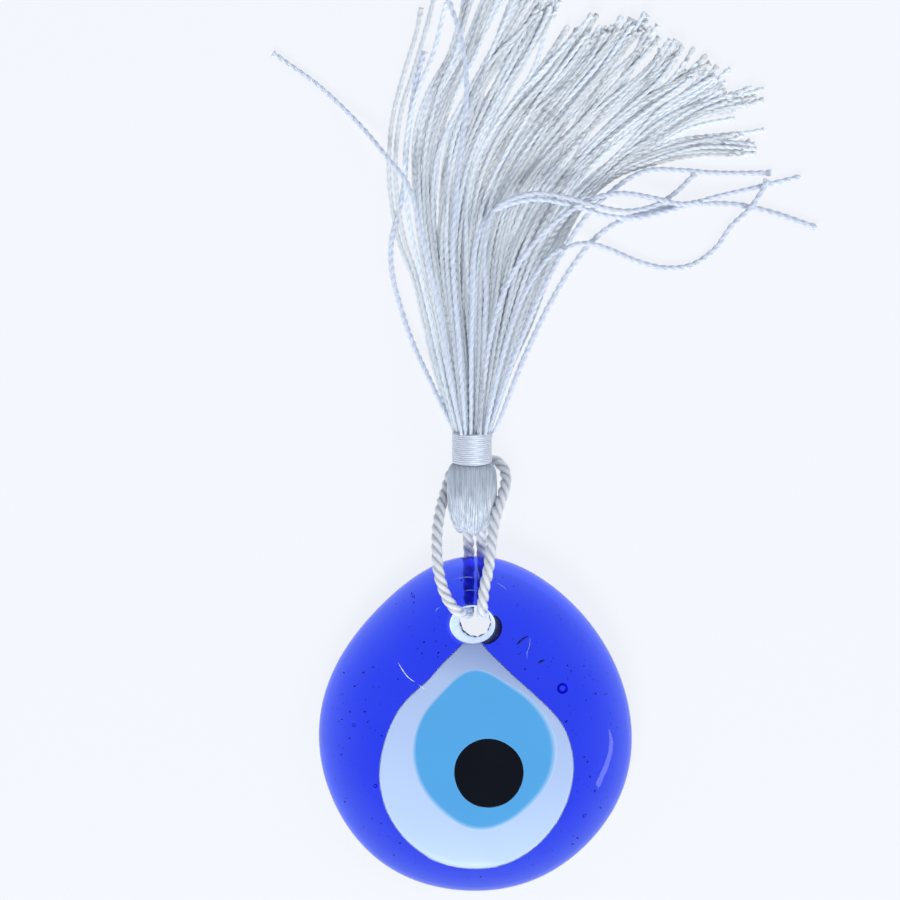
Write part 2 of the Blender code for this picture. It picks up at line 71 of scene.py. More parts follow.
REST = frame["record"]["mounts"][0]  # the middle of the drop's flat back
JOINTS = {joint["name"]: joint for joint in frame["joints"]}
DROP_PLACE = np.array(REST["pos_m"])
DROP_TILT = np.arctan2(REST["axis"][1], -REST["axis"][2])
HOLE_PLACE = np.array(JOINTS["hitch_swing"]["pos_m"]) * (1, 1, 0)

# Drop, in its own plane: the back at z = 0, its middle at the origin
DROP_HALF = np.array((25.05, 26.8)) * MM
DROP_MIDDLE_HEIGHT = 6.0 * MM
DROP_SIDE = (1.2 * MM, 2.2 * MM)  # the upright strip round its edge, from and to these heights
HOLE_MIDDLE = np.array((-0.3, 16.2)) * MM
HOLE_BACK_RADIUS = 2.38 * MM
HOLE_FLARE = np.array((1.32, 0.72)) * MM  # how much wider it is at the front, along X and along Y
HOLE_LEAN = np.array((-0.62, 0.0)) * MM  # how far its middle moves from the back to the front
HOLE_LIP = 0.55 * MM  # rounding of its front edge
HOLE_CHAMFER = 0.45 * MM  # rounding of its back edge
LAYER_LIP = 0.10 * MM  # rounding of a layer's edge

DROP_OUTLINE = (
    (0.00, 1.00), (0.20, 0.97), (0.38, 0.89), (0.66, 0.68), (0.88, 0.37), (0.99, 0.02), (0.95, -0.36),
    (0.75, -0.68), (0.41, -0.92), (0.02, -1.00), (-0.38, -0.94), (-0.71, -0.74), (-0.93, -0.41),
    (-1.00, -0.05), (-0.92, 0.29), (-0.72, 0.59), (-0.43, 0.85), (-0.20, 0.97),
)  # fmt: skip

# The eye's layers and the flaws, in millimetres in the drop's plane
WHITE_OUTLINE = (
    (-0.3, 14.0), (1.2, 12.9), (2.0, 12.1), (3.8, 10.3), (6.3, 7.9), (9.2, 5.3), (12.0, 2.6), (14.0, -0.0),
    (15.2, -3.2), (15.6, -6.8), (15.0, -10.7), (13.4, -14.6), (10.9, -18.0), (7.7, -20.7), (4.2, -22.3),
    (0.3, -22.9), (-3.6, -22.5), (-7.2, -21.2), (-10.4, -18.9), (-12.9, -16.0), (-14.5, -12.8),
    (-15.3, -9.3), (-15.3, -6.1), (-14.5, -2.2), (-12.9, 1.7), (-10.8, 4.6), (-7.9, 7.2), (-5.1, 10.3),
    (-2.2, 13.1),
)  # fmt: skip
LIGHT_OUTLINE = (
    (-0.1, 9.4), (4.2, 7.6), (7.7, 5.3), (10.6, 2.5), (12.3, -0.7), (12.9, -3.6), (12.4, -6.8),
    (10.9, -10.0), (8.4, -12.8), (4.9, -15.4), (1.3, -16.5), (-2.2, -15.9), (-5.1, -13.9), (-7.6, -11.4),
    (-9.2, -8.5), (-10.0, -5.3), (-10.0, -2.5), (-9.2, 0.3), (-7.6, 3.2), (-5.4, 5.7), (-2.9, 8.0),
    (-1.5, 9.0),
)  # fmt: skip
PUPIL_MIDDLE = np.array((2.05, -7.4)) * MM
PUPIL_RADIUS = 5.6 * MM
WHITE_DEPTH, LIGHT_DEPTH, PUPIL_DEPTH = 2.3 * MM, 1.2 * MM, 0.6 * MM
LIGHT_SPREAD = 1.015  # the light blue's melted rim reaches this much past its outline

PALE_HAIRS = (
    ((-3.98, 23.03), (-3.38, 23.39), (-2.29, 23.63), (-1.33, 23.70), (0.25, 23.63)),
    ((3.14, 22.79), (4.00, 22.43), (4.96, 21.65)),
    ((-1.86, 21.57), (-0.84, 21.67), (0.25, 21.57)),
    ((0.25, 25.80), (0.22, 25.01), (0.49, 23.81), (0.35, 22.85)),
    ((8.59, 14.39), (8.53, 13.19), (8.34, 12.34), (8.10, 11.74), (8.16, 10.52)),
    ((-6.39, 18.18), (-6.13, 18.73), (-5.57, 19.00)),
)
WHITE_HAIRS = (
    ((-12.31, 10.17), (-11.73, 9.18), (-10.86, 7.99), (-9.68, 7.06)),
    ((-9.00, 6.65), (-8.41, 6.18), (-7.80, 5.80)),
)
DARK_HAIRS = (((6.41, 12.89), (7.26, 13.79), (8.34, 14.45)), ((9.8, 9.9), (10.2, 10.3), (10.9, 10.6)))

# The cord's route from the hole: out of the head, under the bar, round behind the neck and back
CORD_ROUTE = (
    (-1.45, 18.40, 4.05), (-1.30, 15.60, 3.50), (-1.05, 11.00, 1.30), (-1.05, 7.60, 0.90),
    (-1.05, 3.80, 0.90), (-1.08, 2.30, 1.60), (-1.25, 1.65, 3.30), (-2.05, 1.70, 6.27),
    (-3.05, 2.30, 8.10), (-4.30, 3.80, 8.67), (-5.20, 5.80, 8.67), (-5.90, 8.50, 8.60),
    (-6.20, 11.60, 8.00), (-6.10, 15.20, 6.70), (-5.60, 18.40, 4.90), (-4.75, 21.40, 2.40),
    (-3.70, 24.20, 1.25), (-1.50, 25.70, 0.90), (1.30, 26.30, 0.90), (3.80, 25.60, 1.29),
    (4.85, 23.40, 2.65), (4.25, 20.40, 5.00), (3.25, 17.40, 6.45), (2.65, 14.40, 7.45),
    (2.35, 11.40, 8.20), (1.90, 8.40, 8.67), (1.35, 5.90, 8.67), (1.15, 4.10, 8.67),
    (1.02, 2.45, 7.97), (0.98, 1.75, 6.27), (1.00, 1.65, 3.30), (1.05, 2.30, 1.60),
    (1.05, 3.80, 0.90), (1.05, 7.60, 0.90), (1.05, 11.00, 1.30), (0.88, 15.60, 3.50),
    (0.70, 18.40, 4.05),
)  # fmt: skip

# The fan's guide lines from the hole, left to right
FAN = (
    ((-3.3, 30.5), (-6.7, 40.9), (-8.3, 47.6), (-9.8, 54.3), (-12.2, 60.4), (-13.6, 66.6), (-14.2, 72.7),
     (-13.8, 80.0), (-12.2, 86.7), (-10.1, 93.4), (-9.3, 97.7)),
    ((-2.7, 30.5), (-4.6, 38.4), (-6.4, 47.6), (-8.6, 56.8), (-10.0, 65.3), (-10.4, 72.7), (-9.8, 79.4),
     (-8.0, 86.1), (-5.2, 92.2), (-3.4, 99.6), (-1.8, 104.0)),
    ((-2.0, 30.5), (-3.4, 41.5), (-4.6, 50.7), (-5.5, 59.8), (-5.5, 69.0), (-4.3, 76.3), (-1.5, 83.1),
     (2.1, 90.4), (6.4, 98.3), (8.0, 101.5)),
    ((-0.9, 30.5), (-0.9, 41.5), (-1.5, 50.7), (-1.5, 59.8), (-0.3, 68.4), (2.7, 75.7), (7.0, 82.4),
     (11.9, 88.6), (16.2, 95.3)),
    ((0.2, 30.5), (0.9, 41.5), (1.5, 50.7), (2.4, 59.8), (5.2, 69.0), (9.5, 76.3), (14.9, 83.1),
     (20.5, 89.8), (25.3, 95.9)),
    ((1.1, 30.5), (2.7, 40.9), (4.6, 50.7), (7.0, 59.8), (11.3, 68.4), (16.8, 75.1), (22.9, 81.2),
     (29.0, 86.7), (32.1, 91.0)),
    ((1.7, 30.5), (4.6, 40.9), (7.0, 48.8), (10.7, 57.4), (15.6, 65.3), (21.1, 71.5), (27.8, 76.9),
     (35.1, 81.8), (43.7, 84.9)),
    ((2.1, 30.5), (5.5, 40.3), (8.8, 47.6), (11.3, 54.3), (14.3, 61.7), (17.4, 67.2), (22.3, 71.4),
     (28.4, 73.6), (35.7, 75.0), (43.7, 75.2)),
)  # fmt: skip

STRAYS = (
    ((-2.2, 30.0, 8.6), (-4.3, 40.4, 7.6), (-5.8, 50.4, 6.2), (-8.3, 60.4, 5.6), (-10.6, 69.4, 5.2),
     (-14.4, 74.7, 3.6), (-19.1, 80.3, 1.7), (-25.2, 86.1, 0.6), (-32.5, 91.3, 0.45)),
    ((-2.9, 29.5, 6.0), (-5.3, 34.6, 4.2), (-7.3, 38.8, 2.6), (-10.1, 44.9, 1.2), (-12.5, 52.1, 0.5),
     (-13.5, 57.0, 0.45), (-13.5, 61.1, 0.45), (-12.8, 64.2, 0.45), (-12.1, 66.8, 0.45), (-11.4, 70.8, 0.45),
     (-11.1, 75.6, 0.45), (-10.6, 80.4, 0.45), (-9.7, 86.0, 0.45), (-8.2, 91.6, 0.45)),
    ((0.6, 30.0, 8.7), (1.3, 42.4, 7.4), (1.6, 52.4, 6.6), (1.4, 59.5, 6.3), (3.0, 65.8, 6.3),
     (8.6, 68.4, 6.7), (14.0, 67.9, 6.5), (19.2, 66.5, 5.5), (24.0, 65.8, 3.8), (28.4, 66.7, 2.8),
     (32.0, 68.9, 1.3), (35.2, 72.0, 0.5)),
    ((-0.8, 30.0, 8.8), (-0.7, 42.4, 7.6), (-0.4, 52.4, 6.9), (0.0, 60.0, 6.2), (2.4, 65.3, 5.4),
     (8.6, 67.5, 5.6), (14.2, 66.9, 5.4), (18.6, 65.6, 4.6), (22.0, 64.9, 3.4), (26.0, 64.8, 1.9),
     (31.0, 66.0, 1.7), (38.4, 68.2, 1.5), (43.0, 69.3, 0.7), (47.0, 70.3, 0.45), (52.1, 71.5, 0.45)),
    ((2.0, 29.5, 6.2), (3.6, 32.0, 6.0), (7.6, 42.1, 3.2), (12.6, 52.4, 1.0), (17.9, 60.3, 0.5),
     (22.5, 64.0, 0.45), (27.6, 65.9, 0.45), (32.9, 66.9, 0.45), (39.0, 67.2, 0.45), (43.9, 66.7, 0.45),
     (49.4, 65.2, 0.45), (54.6, 63.3, 0.45)),
    ((1.4, 30.0, 8.2), (4.2, 42.4, 7.2), (7.2, 51.4, 6.2), (11.2, 57.9, 5.2), (14.5, 60.0, 3.8),
     (17.9, 60.7, 2.2), (21.3, 59.9, 0.9), (26.1, 57.9, 0.5), (30.4, 56.9, 0.45), (34.7, 57.4, 0.5),
     (38.4, 60.0, 0.9), (40.8, 63.4, 1.6), (43.9, 66.4, 1.9), (46.0, 69.5, 1.9), (46.6, 71.0, 1.9)),
    ((1.8, 30.0, 7.2), (6.0, 42.0, 5.4), (10.8, 53.4, 4.4), (16.6, 63.6, 3.6), (22.4, 69.6, 2.6),
     (27.4, 72.4, 1.5), (33.0, 72.5, 0.9), (39.0, 72.1, 0.6), (47.4, 72.1, 0.45)),
    ((0.4, 30.0, 8.6), (2.0, 44.0, 7.4), (5.0, 54.0, 6.8), (9.6, 61.0, 6.6), (13.5, 64.6, 6.2),
     (17.9, 67.4, 5.2), (23.1, 68.6, 4.0), (28.9, 67.8, 3.0), (32.5, 67.0, 2.6), (36.2, 67.3, 2.2)),
    ((-1.6, 30.0, 8.7), (-2.6, 44.0, 7.4), (-3.6, 58.0, 6.4), (-2.9, 70.0, 5.6), (-1.6, 81.2, 5.2),
     (-1.6, 88.6, 5.0), (-2.6, 94.2, 4.6), (-4.4, 99.6, 4.0)),
)  # fmt: skip


# ---------------------------------------------------------------- meshes


def spans(paths):
    """Length along each path at each of its points."""
    steps = np.linalg.norm(np.diff(paths, axis=1), axis=2)
    return np.concatenate([np.zeros((len(paths), 1)), np.cumsum(steps, axis=1)], axis=1)


def catmull_rom(held, steps):
    """The Catmull-Rom curve of some points, a cubic between each two whose ends point along the line
    between the neighbours. The first and last point only steer it."""
    t = np.linspace(0, 1, steps, endpoint=False)[:, None, None]
    before, start, end, after = held[:-3], held[1:-2], held[2:-1], held[3:]
    curve = 0.5 * (
        2 * start
        + (end - before) * t
        + (2 * before - 5 * start + 4 * end - after) * t**2
        + (3 * start - before - 3 * end + after) * t**3
    )
    return curve.transpose(1, 0, 2).reshape(-1, held.shape[1])


def closed_line(points, count, harmonics):
    """A closed line through a few points: their Catmull-Rom curve, evenly spaced by length, with only
    its lowest harmonics kept, which rounds it."""
    points = np.asarray(points, float)
    curve = catmull_rom(np.concatenate([points[-1:], points, points[:2]]), 24)
    ring = np.concatenate([curve, curve[:1]])
    lengths = spans(ring[None])[0]
    wanted = np.arange(count) * lengths[-1] / count
    waves = np.fft.rfft(np.stack([np.interp(wanted, lengths, axis) for axis in ring.T]))
    waves[:, harmonics:] = 0
    return np.fft.irfft(waves, count).T


def open_line(points, count):
    """An open line through a few points: their Catmull-Rom curve, evenly spaced by length."""
    points = np.asarray(points, float)
    held = np.concatenate([2 * points[:1] - points[1:2], points, 2 * points[-1:] - points[-2:-1]])
    curve = np.concatenate([catmull_rom(held, 10), points[-1:]])
    lengths = spans(curve[None])[0]
    wanted = np.linspace(0, lengths[-1], count)
    return np.stack([np.interp(wanted, lengths, axis) for axis in curve.T], axis=1)


def cross_frames(paths):
    """Two directions across each path at each point, carried along so that they never turn about it."""
    along = np.gradient(paths, axis=1)
    along /= np.linalg.norm(along, axis=2, keepdims=True)
    side = np.empty_like(along)
    first = np.cross(along[:, 0], (0.02, 0.05, 1.0))
    side[:, 0] = first / np.linalg.norm(first, axis=1, keepdims=True)
    for row in range(1, paths.shape[1]):
        moved = side[:, row - 1] - along[:, row] * np.sum(side[:, row - 1] * along[:, row], axis=1)[:, None]
        side[:, row] = moved / np.linalg.norm(moved, axis=1, keepdims=True)
    return side, np.cross(along, side)


def ply_radius(turn, plies, crown, lobe):
    """Distance from a yarn's axis to its surface at an angle, for plies lying round the axis: each ply is
    a circle of radius lobe whose far side is at crown, so its middle is crown - lobe out."""
    half = np.pi / plies
    psi = (turn + half) % (2 * half) - half
    out = crown - lobe
    return out * np.cos(psi) + np.sqrt(lobe**2 - (out * np.sin(psi)) ** 2)


def carry(paths, radii, turns):
    """A closed tube along each path. At each row and column its surface is at that radius from the path,
    in the direction at that angle between the path's two cross directions."""
    side, up = cross_frames(paths)
    return paths[:, :, None] + radii[..., None] * (
        np.cos(turns)[..., None] * side[:, :, None] + np.sin(turns)[..., None] * up[:, :, None]
    )


def shell_of(grids, ends="poles"):
    """Points and faces of grids (count, rows, columns, 3) whose columns close on themselves. The rows
    end in a pole each, at the middle of the end row, or close on themselves too."""
    count, rows, columns = grids.shape[:3]
    row, column = np.meshgrid(np.arange(rows - (ends == "poles")), np.arange(columns), indexing="ij")
    after, beside = (row + 1) % rows, (column + 1) % columns
    quads = np.stack(
        [row * columns + column, row * columns + beside, after * columns + beside, after * columns + column],
        axis=-1,
    ).reshape(-1, 4)
    tris = np.zeros((0, 3), int)
    points = grids.reshape(count, -1, 3)
    if ends == "poles":
        poles = np.stack([grids[:, 0].mean(axis=1), grids[:, -1].mean(axis=1)], axis=1)
        points = np.concatenate([points, poles], axis=1)
        here, beside = np.arange(columns), (np.arange(columns) + 1) % columns
        last = (rows - 1) * columns
        start = np.stack([np.full(columns, rows * columns), beside, here], axis=1)
        end = np.stack([np.full(columns, rows * columns + 1), last + here, last + beside], axis=1)
        tris = np.concatenate([start, end])
    stride = np.arange(count)[:, None, None] * points.shape[1]
    return points.reshape(-1, 3), (quads + stride).reshape(-1, 4), (tris + stride).reshape(-1, 3)


def outward(points, quads, tris):
    """The same faces, turned over where the volume they enclose comes out negative."""
    fans = np.concatenate([quads[:, (0, 1, 2)], quads[:, (0, 2, 3)], tris])
    a, b, c = points[fans].transpose(1, 0, 2)
    if np.sum(a * np.cross(b, c)) < 0:
        return quads[:, ::-1], tris[:, ::-1]
    return quads, tris


def piece(name, shell, material, marks=None):
    """An object from points and faces, with a point attribute for each named set of marks."""
    points, quads, tris = shell
    quads, tris = outward(points, quads, tris)
    sizes = np.concatenate([np.full(len(quads), 4), np.full(len(tris), 3)])
    mesh = bpy.data.meshes.new(name)
    mesh.vertices.add(len(points))
    mesh.vertices.foreach_set("co", points.astype(np.float32).ravel())
    mesh.loops.add(int(sizes.sum()))
    mesh.loops.foreach_set("vertex_index", np.concatenate([quads.ravel(), tris.ravel()]).astype(np.int32))
    mesh.polygons.add(len(sizes))
    mesh.polygons.foreach_set("loop_start", (np.cumsum(sizes) - sizes).astype(np.int32))
    mesh.update(calc_edges=True)
    mesh.shade_smooth()
    for mark, values in (marks or {}).items():
        attribute = mesh.attributes.new(mark, "FLOAT", "POINT")
        attribute.data.foreach_set("value", np.asarray(values, np.float32))
    made = bpy.data.objects.new(name, mesh)
    bpy.context.scene.collection.objects.link(made)
    mesh.materials.append(material)
    return made


def marks_of(values, grids, ends="poles"):
    """One value for each point of a shell: a value for each grid point, and the end rows' for the poles."""
    count, rows, columns = grids.shape[:3]
    full = np.broadcast_to(values, (count, rows, columns)).reshape(count, -1)
    if ends == "poles":
        full = np.concatenate([full, full[:, :1], full[:, -1:]], axis=1)
    return full.ravel()


def leant(points, angle):
    """Points turned about the X axis: Y and Z each become a mix of the two by the angle's cosine and sine."""
    x, y, z = np.moveaxis(points, -1, 0)
    c, s = np.cos(angle), np.sin(angle)
    return np.stack([x, y * c - z * s, y * s + z * c], axis=-1)


# ---------------------------------------------------------------- materials


def finish(name, colour, roughness, **sockets):
    """A Principled material. Returns it with its node tree and shader."""
    made = bpy.data.materials.new(name)
    made.use_nodes = True
    tree = made.node_tree
    shader = tree.nodes["Principled BSDF"]
    shader.inputs["Base Color"].default_value = (*colour[:3], 1)
    shader.inputs["Roughness"].default_value = roughness
    for socket, value in sockets.items():
        shader.inputs[socket.replace("_", " ")].default_value = value
    return made, tree, shader


def node(tree, kind, **settings):
    """A new shader node with its settings."""
    made = tree.nodes.new(kind)
    for key, value in settings.items():
        setattr(made, key, value)
    return made


def mottle(tree, scale, detail=3.0, roughness=0.55, distortion=0.0):
    """Noise over the object's own coordinates."""
    place = node(tree, "ShaderNodeTexCoord")
    noise = node(tree, "ShaderNodeTexNoise")
    noise.inputs["Scale"].default_value = scale
    noise.inputs["Detail"].default_value = detail
    noise.inputs["Roughness"].default_value = roughness
    noise.inputs["Distortion"].default_value = distortion
    tree.links.new(place.outputs["Object"], noise.inputs["Vector"])
    return noise.outputs["Fac"]


def ramp(tree, value, stops):
    """Colours along a value: stops are (place, colour)."""
    made = node(tree, "ShaderNodeValToRGB")
    elements = made.color_ramp.elements
    while len(elements) < len(stops):
        elements.new(0.5)
    for element, (place, colour) in zip(elements, stops):
        element.position = place
        element.color = (*colour[:3], 1)
    tree.links.new(value, made.inputs["Fac"])
    return made.outputs["Color"]


def mark(tree, name):
    """The value that a mesh's points carry under a name."""
    return node(tree, "ShaderNodeAttribute", attribute_name=name).outputs["Fac"]


def mixed(tree, share, first, second, blend="MIX"):
    """Two colours mixed. Each may be a colour or another node's output, and so may the share."""
    made = node(tree, "ShaderNodeMix", data_type="RGBA", blend_type=blend)
    for place, value in ((0, share), (6, first), (7, second)):
        if isinstance(value, bpy.types.NodeSocket):
            tree.links.new(value, made.inputs[place])
        else:
            made.inputs[place].default_value = value if place == 0 else (*value[:3], 1)
    return made.outputs[2]


def grainy(name, colour, roughness, scale, stops, detail=3.0, **sockets):
    """A Principled material whose colour goes along a few stops by noise."""
    made, tree, shader = finish(name, colour, roughness, **sockets)
    tree.links.new(ramp(tree, mottle(tree, scale, detail), stops), shader.inputs["Base Color"])
    return made, tree, shader


def relief(tree, shader, height, depth, strength=1.0):
    """Bumps the shader's normal by a height from 0 to 1 over a depth in metres."""
    bump = node(tree, "ShaderNodeBump")
    bump.inputs["Strength"].default_value = strength
    bump.inputs["Distance"].default_value = depth
    tree.links.new(height, bump.inputs["Height"])
    tree.links.new(bump.outputs["Normal"], shader.inputs["Normal"])


def cobalt_glass(colour):
    """Clear glass that takes up red and green over a few millimetres, with a slightly uneven surface."""
    made, tree, shader = finish("cobalt_glass", (1, 1, 1), 0.015, IOR=1.5, Transmission_Weight=1.0)
    depth = node(tree, "ShaderNodeVolumeAbsorption")
    depth.inputs["Color"].default_value = (*colour[:3], 1)
    depth.inputs["Density"].default_value = 800
    output = tree.nodes["Material Output"]
    tree.links.new(depth.outputs[0], output.inputs["Volume"])
    relief(tree, shader, mottle(tree, 260, 2.0), 0.02 * MM, 0.5)
    return made


def opal_glass(name, colour, shade, roughness=0.12):
    """Opaque pressed glass, faintly clouded."""
    made, tree, shader = finish(name, colour, roughness, Specular_IOR_Level=0.5)
    cloud = ramp(tree, mottle(tree, 150, 3.0, distortion=0.4), ((0.3, shade), (0.7, colour)))
    tree.links.new(cloud, shader.inputs["Base Color"])
    relief(tree, shader, mottle(tree, 420, 2.0), 0.01 * MM, 0.4)
    return made, tree, shader, cloud


def silk(name, colour, warm, painted_groove_shade, roughness=0.42, streaks=0.0):
    """Silk yarn: painted shade between its plies, cooler or warmer from thread to thread by a mark that also
    carries painted sheen, and streaked along Y.
    """
    made, tree, shader = finish(
        name,
        colour,
        roughness,
        Sheen_Weight=0.25,
        Sheen_Roughness=0.4,
        Specular_IOR_Level=0.6,
        Subsurface_Weight=0.6,
        Subsurface_Scale=0.5 * MM,
    )
    shader.inputs["Subsurface Radius"].default_value = (1.0, 1.0, 1.0)
    tone_and_sheen = mixed(tree, mark(tree, "tone_and_sheen"), colour, warm)
    fleck = ramp(tree, mottle(tree, 900, 4.0), ((0.3, (0.86, 0.87, 0.88)), (0.7, (1, 1, 1))))
    body = mixed(tree, 1.0, tone_and_sheen, fleck, "MULTIPLY")
    # Painted shade: where the crown mark is low, between plies, folds and winds, the colour goes to the groove
    # shade.
    lit = mixed(tree, mark(tree, "crown"), painted_groove_shade, body)
    if streaks:
        place, stretch = node(tree, "ShaderNodeTexCoord"), node(tree, "ShaderNodeMapping")
        stretch.inputs["Scale"].default_value = (2400, 260, 2400)
        noise = node(tree, "ShaderNodeTexNoise")
        noise.inputs["Scale"].default_value = 1.0
        tree.links.new(place.outputs["Object"], stretch.inputs["Vector"])
        tree.links.new(stretch.outputs[0], noise.inputs["Vector"])
        dark = 1 - streaks
        shade = ramp(tree, noise.outputs["Fac"], ((0.32, (dark, dark, dark + 0.03)), (0.62, (1, 1, 1))))
        lit = mixed(tree, 1.0, lit, shade, "MULTIPLY")
    tree.links.new(lit, shader.inputs["Base Color"])
    relief(tree, shader, mottle(tree, 2600, 3.0), 0.03 * MM, 0.35)
    return made


# ---------------------------------------------------------------- settings


def colour_of(name, description, default):
    """A colour setting."""
    return FloatVectorProperty(
        name=name, description=description, default=default, subtype="COLOR", size=3, min=0, max=1
    )


def size_of(name, description, default):
    """A length setting, in metres."""
    return FloatProperty(
        name=name, description=description, default=default, subtype="DISTANCE", unit="LENGTH", min=0
    )


class GlassSettings(PropertyGroup):
    """The drop and its eye"""

    cobalt: colour_of("Cobalt", "Light that the blue glass lets through", (0.278, 0.424, 0.9975))
    white: colour_of("White", "Outer ring of the eye", (0.50, 0.63, 0.82))
    light_blue: colour_of("Light blue", "Inner field of the eye", (0.087, 0.35, 0.66))
    black: colour_of("Pupil", "Middle of the eye", (0.004, 0.005, 0.008))
    layer_rise: size_of("Layer rise", "How far each layer stands above the one under it", 0.05 * MM)
    waviness: size_of("Waviness", "Unevenness of the pressed front", 0.05 * MM)
    specks: IntProperty(name="Specks", description="Dark specks in the blue glass", default=260, min=0)


class CordSettings(PropertyGroup):
    """The twisted cord"""

    diameter: size_of("Diameter", "Across the twisted cord", 1.8 * MM)
    pitch: size_of("Pitch", "Length of one full turn of its plies", 5.1 * MM)
    plies: IntProperty(name="Plies", description="Yarns twisted into the cord", default=3, min=2, max=5)
    colour: colour_of("Colour", "Silk of the cord", (0.80, 0.81, 0.82))


class TasselSettings(PropertyGroup):
    """The tassel's head, binding and skirt"""

    threads: IntProperty(name="Threads", description="Threads in the skirt", default=150, min=12)
    thread: size_of("Thread", "Across one two-ply thread", 0.86 * MM)
    pitch: size_of("Pitch", "Length of one full turn of a thread's plies", 2.7 * MM)
    folds: IntProperty(name="Folded threads", description="Threads round the head", default=66, min=12)
    winds: IntProperty(name="Winds", description="Turns of the neck's binding", default=15, min=4)
    colour: colour_of("Colour", "Silk of the threads", (0.90, 0.955, 1.0))
    warm: colour_of("Warm thread", "The warmest of the threads", (0.74, 0.745, 0.72))


VIEW_MIDDLE = np.array((-4.1, 27.7, 0)) * MM  # from the hole
VIEW_HEIGHT = 3 * MM  # over the table, where the view's width is measured


class StageSettings(PropertyGroup):
    """The table, the lights and the camera"""

    table: colour_of("Table", "Colour of the table", (0.93, 0.955, 1.0))
    glow: FloatProperty(name="Glow", description="Light that comes up through the table", default=0.87, min=0)
    room: FloatProperty(name="Room", description="Light from the room around", default=1.0, min=0)
    front: FloatProperty(
        name="Front light", description="Watts of the light before the drop", default=10.8, min=0
    )
    distance: size_of("Camera distance", "From the table to the camera", 0.62)
    view: size_of("View", "Width of the table that the camera sees", 143.7 * MM)


# ---------------------------------------------------------------- glass


def drop_edge(count):
    """The drop's outline: half its width and height times a few points, made one smooth closed line."""
    return closed_line(np.array(DROP_OUTLINE) * DROP_HALF, count, 9)


def share_out(x, y, outline):
    """How far points are from an outline's origin, as a share of the outline's distance that way."""
    angle = np.arctan2(outline[:, 1], outline[:, 0])
    order = np.argsort(angle)
    reach = np.interp(np.arctan2(y, x), angle[order], np.hypot(*outline.T)[order], period=TAU)
    return np.hypot(x, y) / reach


def front_height(x, y, waviness):
    """Height of the drop's front. It falls from the middle to the side strip as the root of one less the
    fifth power of the share of the way out, with three slow sine waves for the pressed glass's unevenness."""
    share = np.clip(share_out(x, y, drop_edge(720)), 0, 1)
    dome = np.sqrt(1 - share**5)
    waves = (
        np.sin(x * 310 + y * 170 + 0.4)
        + np.sin(y * 420 - x * 140 + 1.9)
        + 0.6 * np.sin(x * 660 + y * 590)
    )
    return DROP_SIDE[1] + (DROP_MIDDLE_HEIGHT - DROP_SIDE[1]) * dome + waviness * waves * dome


def hole_shape(z):
    """Middle and half widths of the hole's ellipse at each height. Both change evenly with height."""
    share = np.asarray(z / DROP_MIDDLE_HEIGHT)[..., None]
    return HOLE_MIDDLE + HOLE_LEAN * (share - 0.5), HOLE_BACK_RADIUS + HOLE_FLARE * share


def hole_ring(z, angle, wider):
    """Points of the hole's wall at some heights and angles, made wider by a length."""
    centre, radii = hole_shape(z)
    return centre + (radii + np.asarray(wider)[..., None]) * np.stack([np.cos(angle), np.sin(angle)], axis=-1)


def drop_shell(waviness):
    """The blue glass, a ring closed both ways. Round it: the direction from the hole to a point of the
    outline. Along it: up the hole's wall, out over the domed front, down the side, and back along the flat
    back. The edges between them are quarter circles."""
    count = 320
    edge = drop_edge(count)
    angle = np.arctan2(*(edge - HOLE_MIDDLE).T[::-1])
    rows = []
    for turn in np.radians((0, 30, 60, 90)):
        wider = HOLE_CHAMFER * (1 - np.sin(turn))
        z = np.full(count, HOLE_CHAMFER * (1 - np.cos(turn)))
        rows.append(np.column_stack([hole_ring(z, angle, np.full(count, wider)), z]))
    wall_top = DROP_MIDDLE_HEIGHT * 0.86
    for z in np.linspace(HOLE_CHAMFER, wall_top, 8)[1:]:
        heights = np.full(count, z)
        rows.append(np.column_stack([hole_ring(heights, angle, np.zeros(count)), heights]))
    top = np.full(count, DROP_MIDDLE_HEIGHT)
    lip = hole_ring(top, angle, np.full(count, HOLE_LIP))
    lip_height = front_height(*lip.T, waviness)
    for turn in np.radians((25, 45, 65, 90)):
        ring = hole_ring(top, angle, np.full(count, HOLE_LIP * (1 - np.cos(turn))))
        z = wall_top + (lip_height - wall_top) * np.sin(turn)
        rows.append(np.column_stack([ring, z]))
    for t in np.linspace(0, 1, 58)[1:]:
        way = np.sin(np.pi / 2 * t)
        place = lip + way * (edge - lip)
        rows.append(np.column_stack([place, front_height(*place.T, waviness)]))
    reach = np.hypot(*edge.T)[:, None]
    back = DROP_SIDE[0]
    for turn in np.radians((0, 18, 36, 54, 72, 90)):
        place = edge * (1 - back * (1 - np.cos(turn)) / reach)
        rows.append(np.column_stack([place, np.full(count, back * (1 - np.sin(turn)))]))
    outer = edge * (1 - back / reach)
    inner = hole_ring(np.zeros(count), angle, np.full(count, HOLE_CHAMFER))
    for t in np.linspace(0, 1, 18)[1:-1]:
        place = outer + t * (inner - outer)
        rows.append(np.column_stack([place, np.zeros(count)]))
    return shell_of(np.array(rows)[None], "rings")


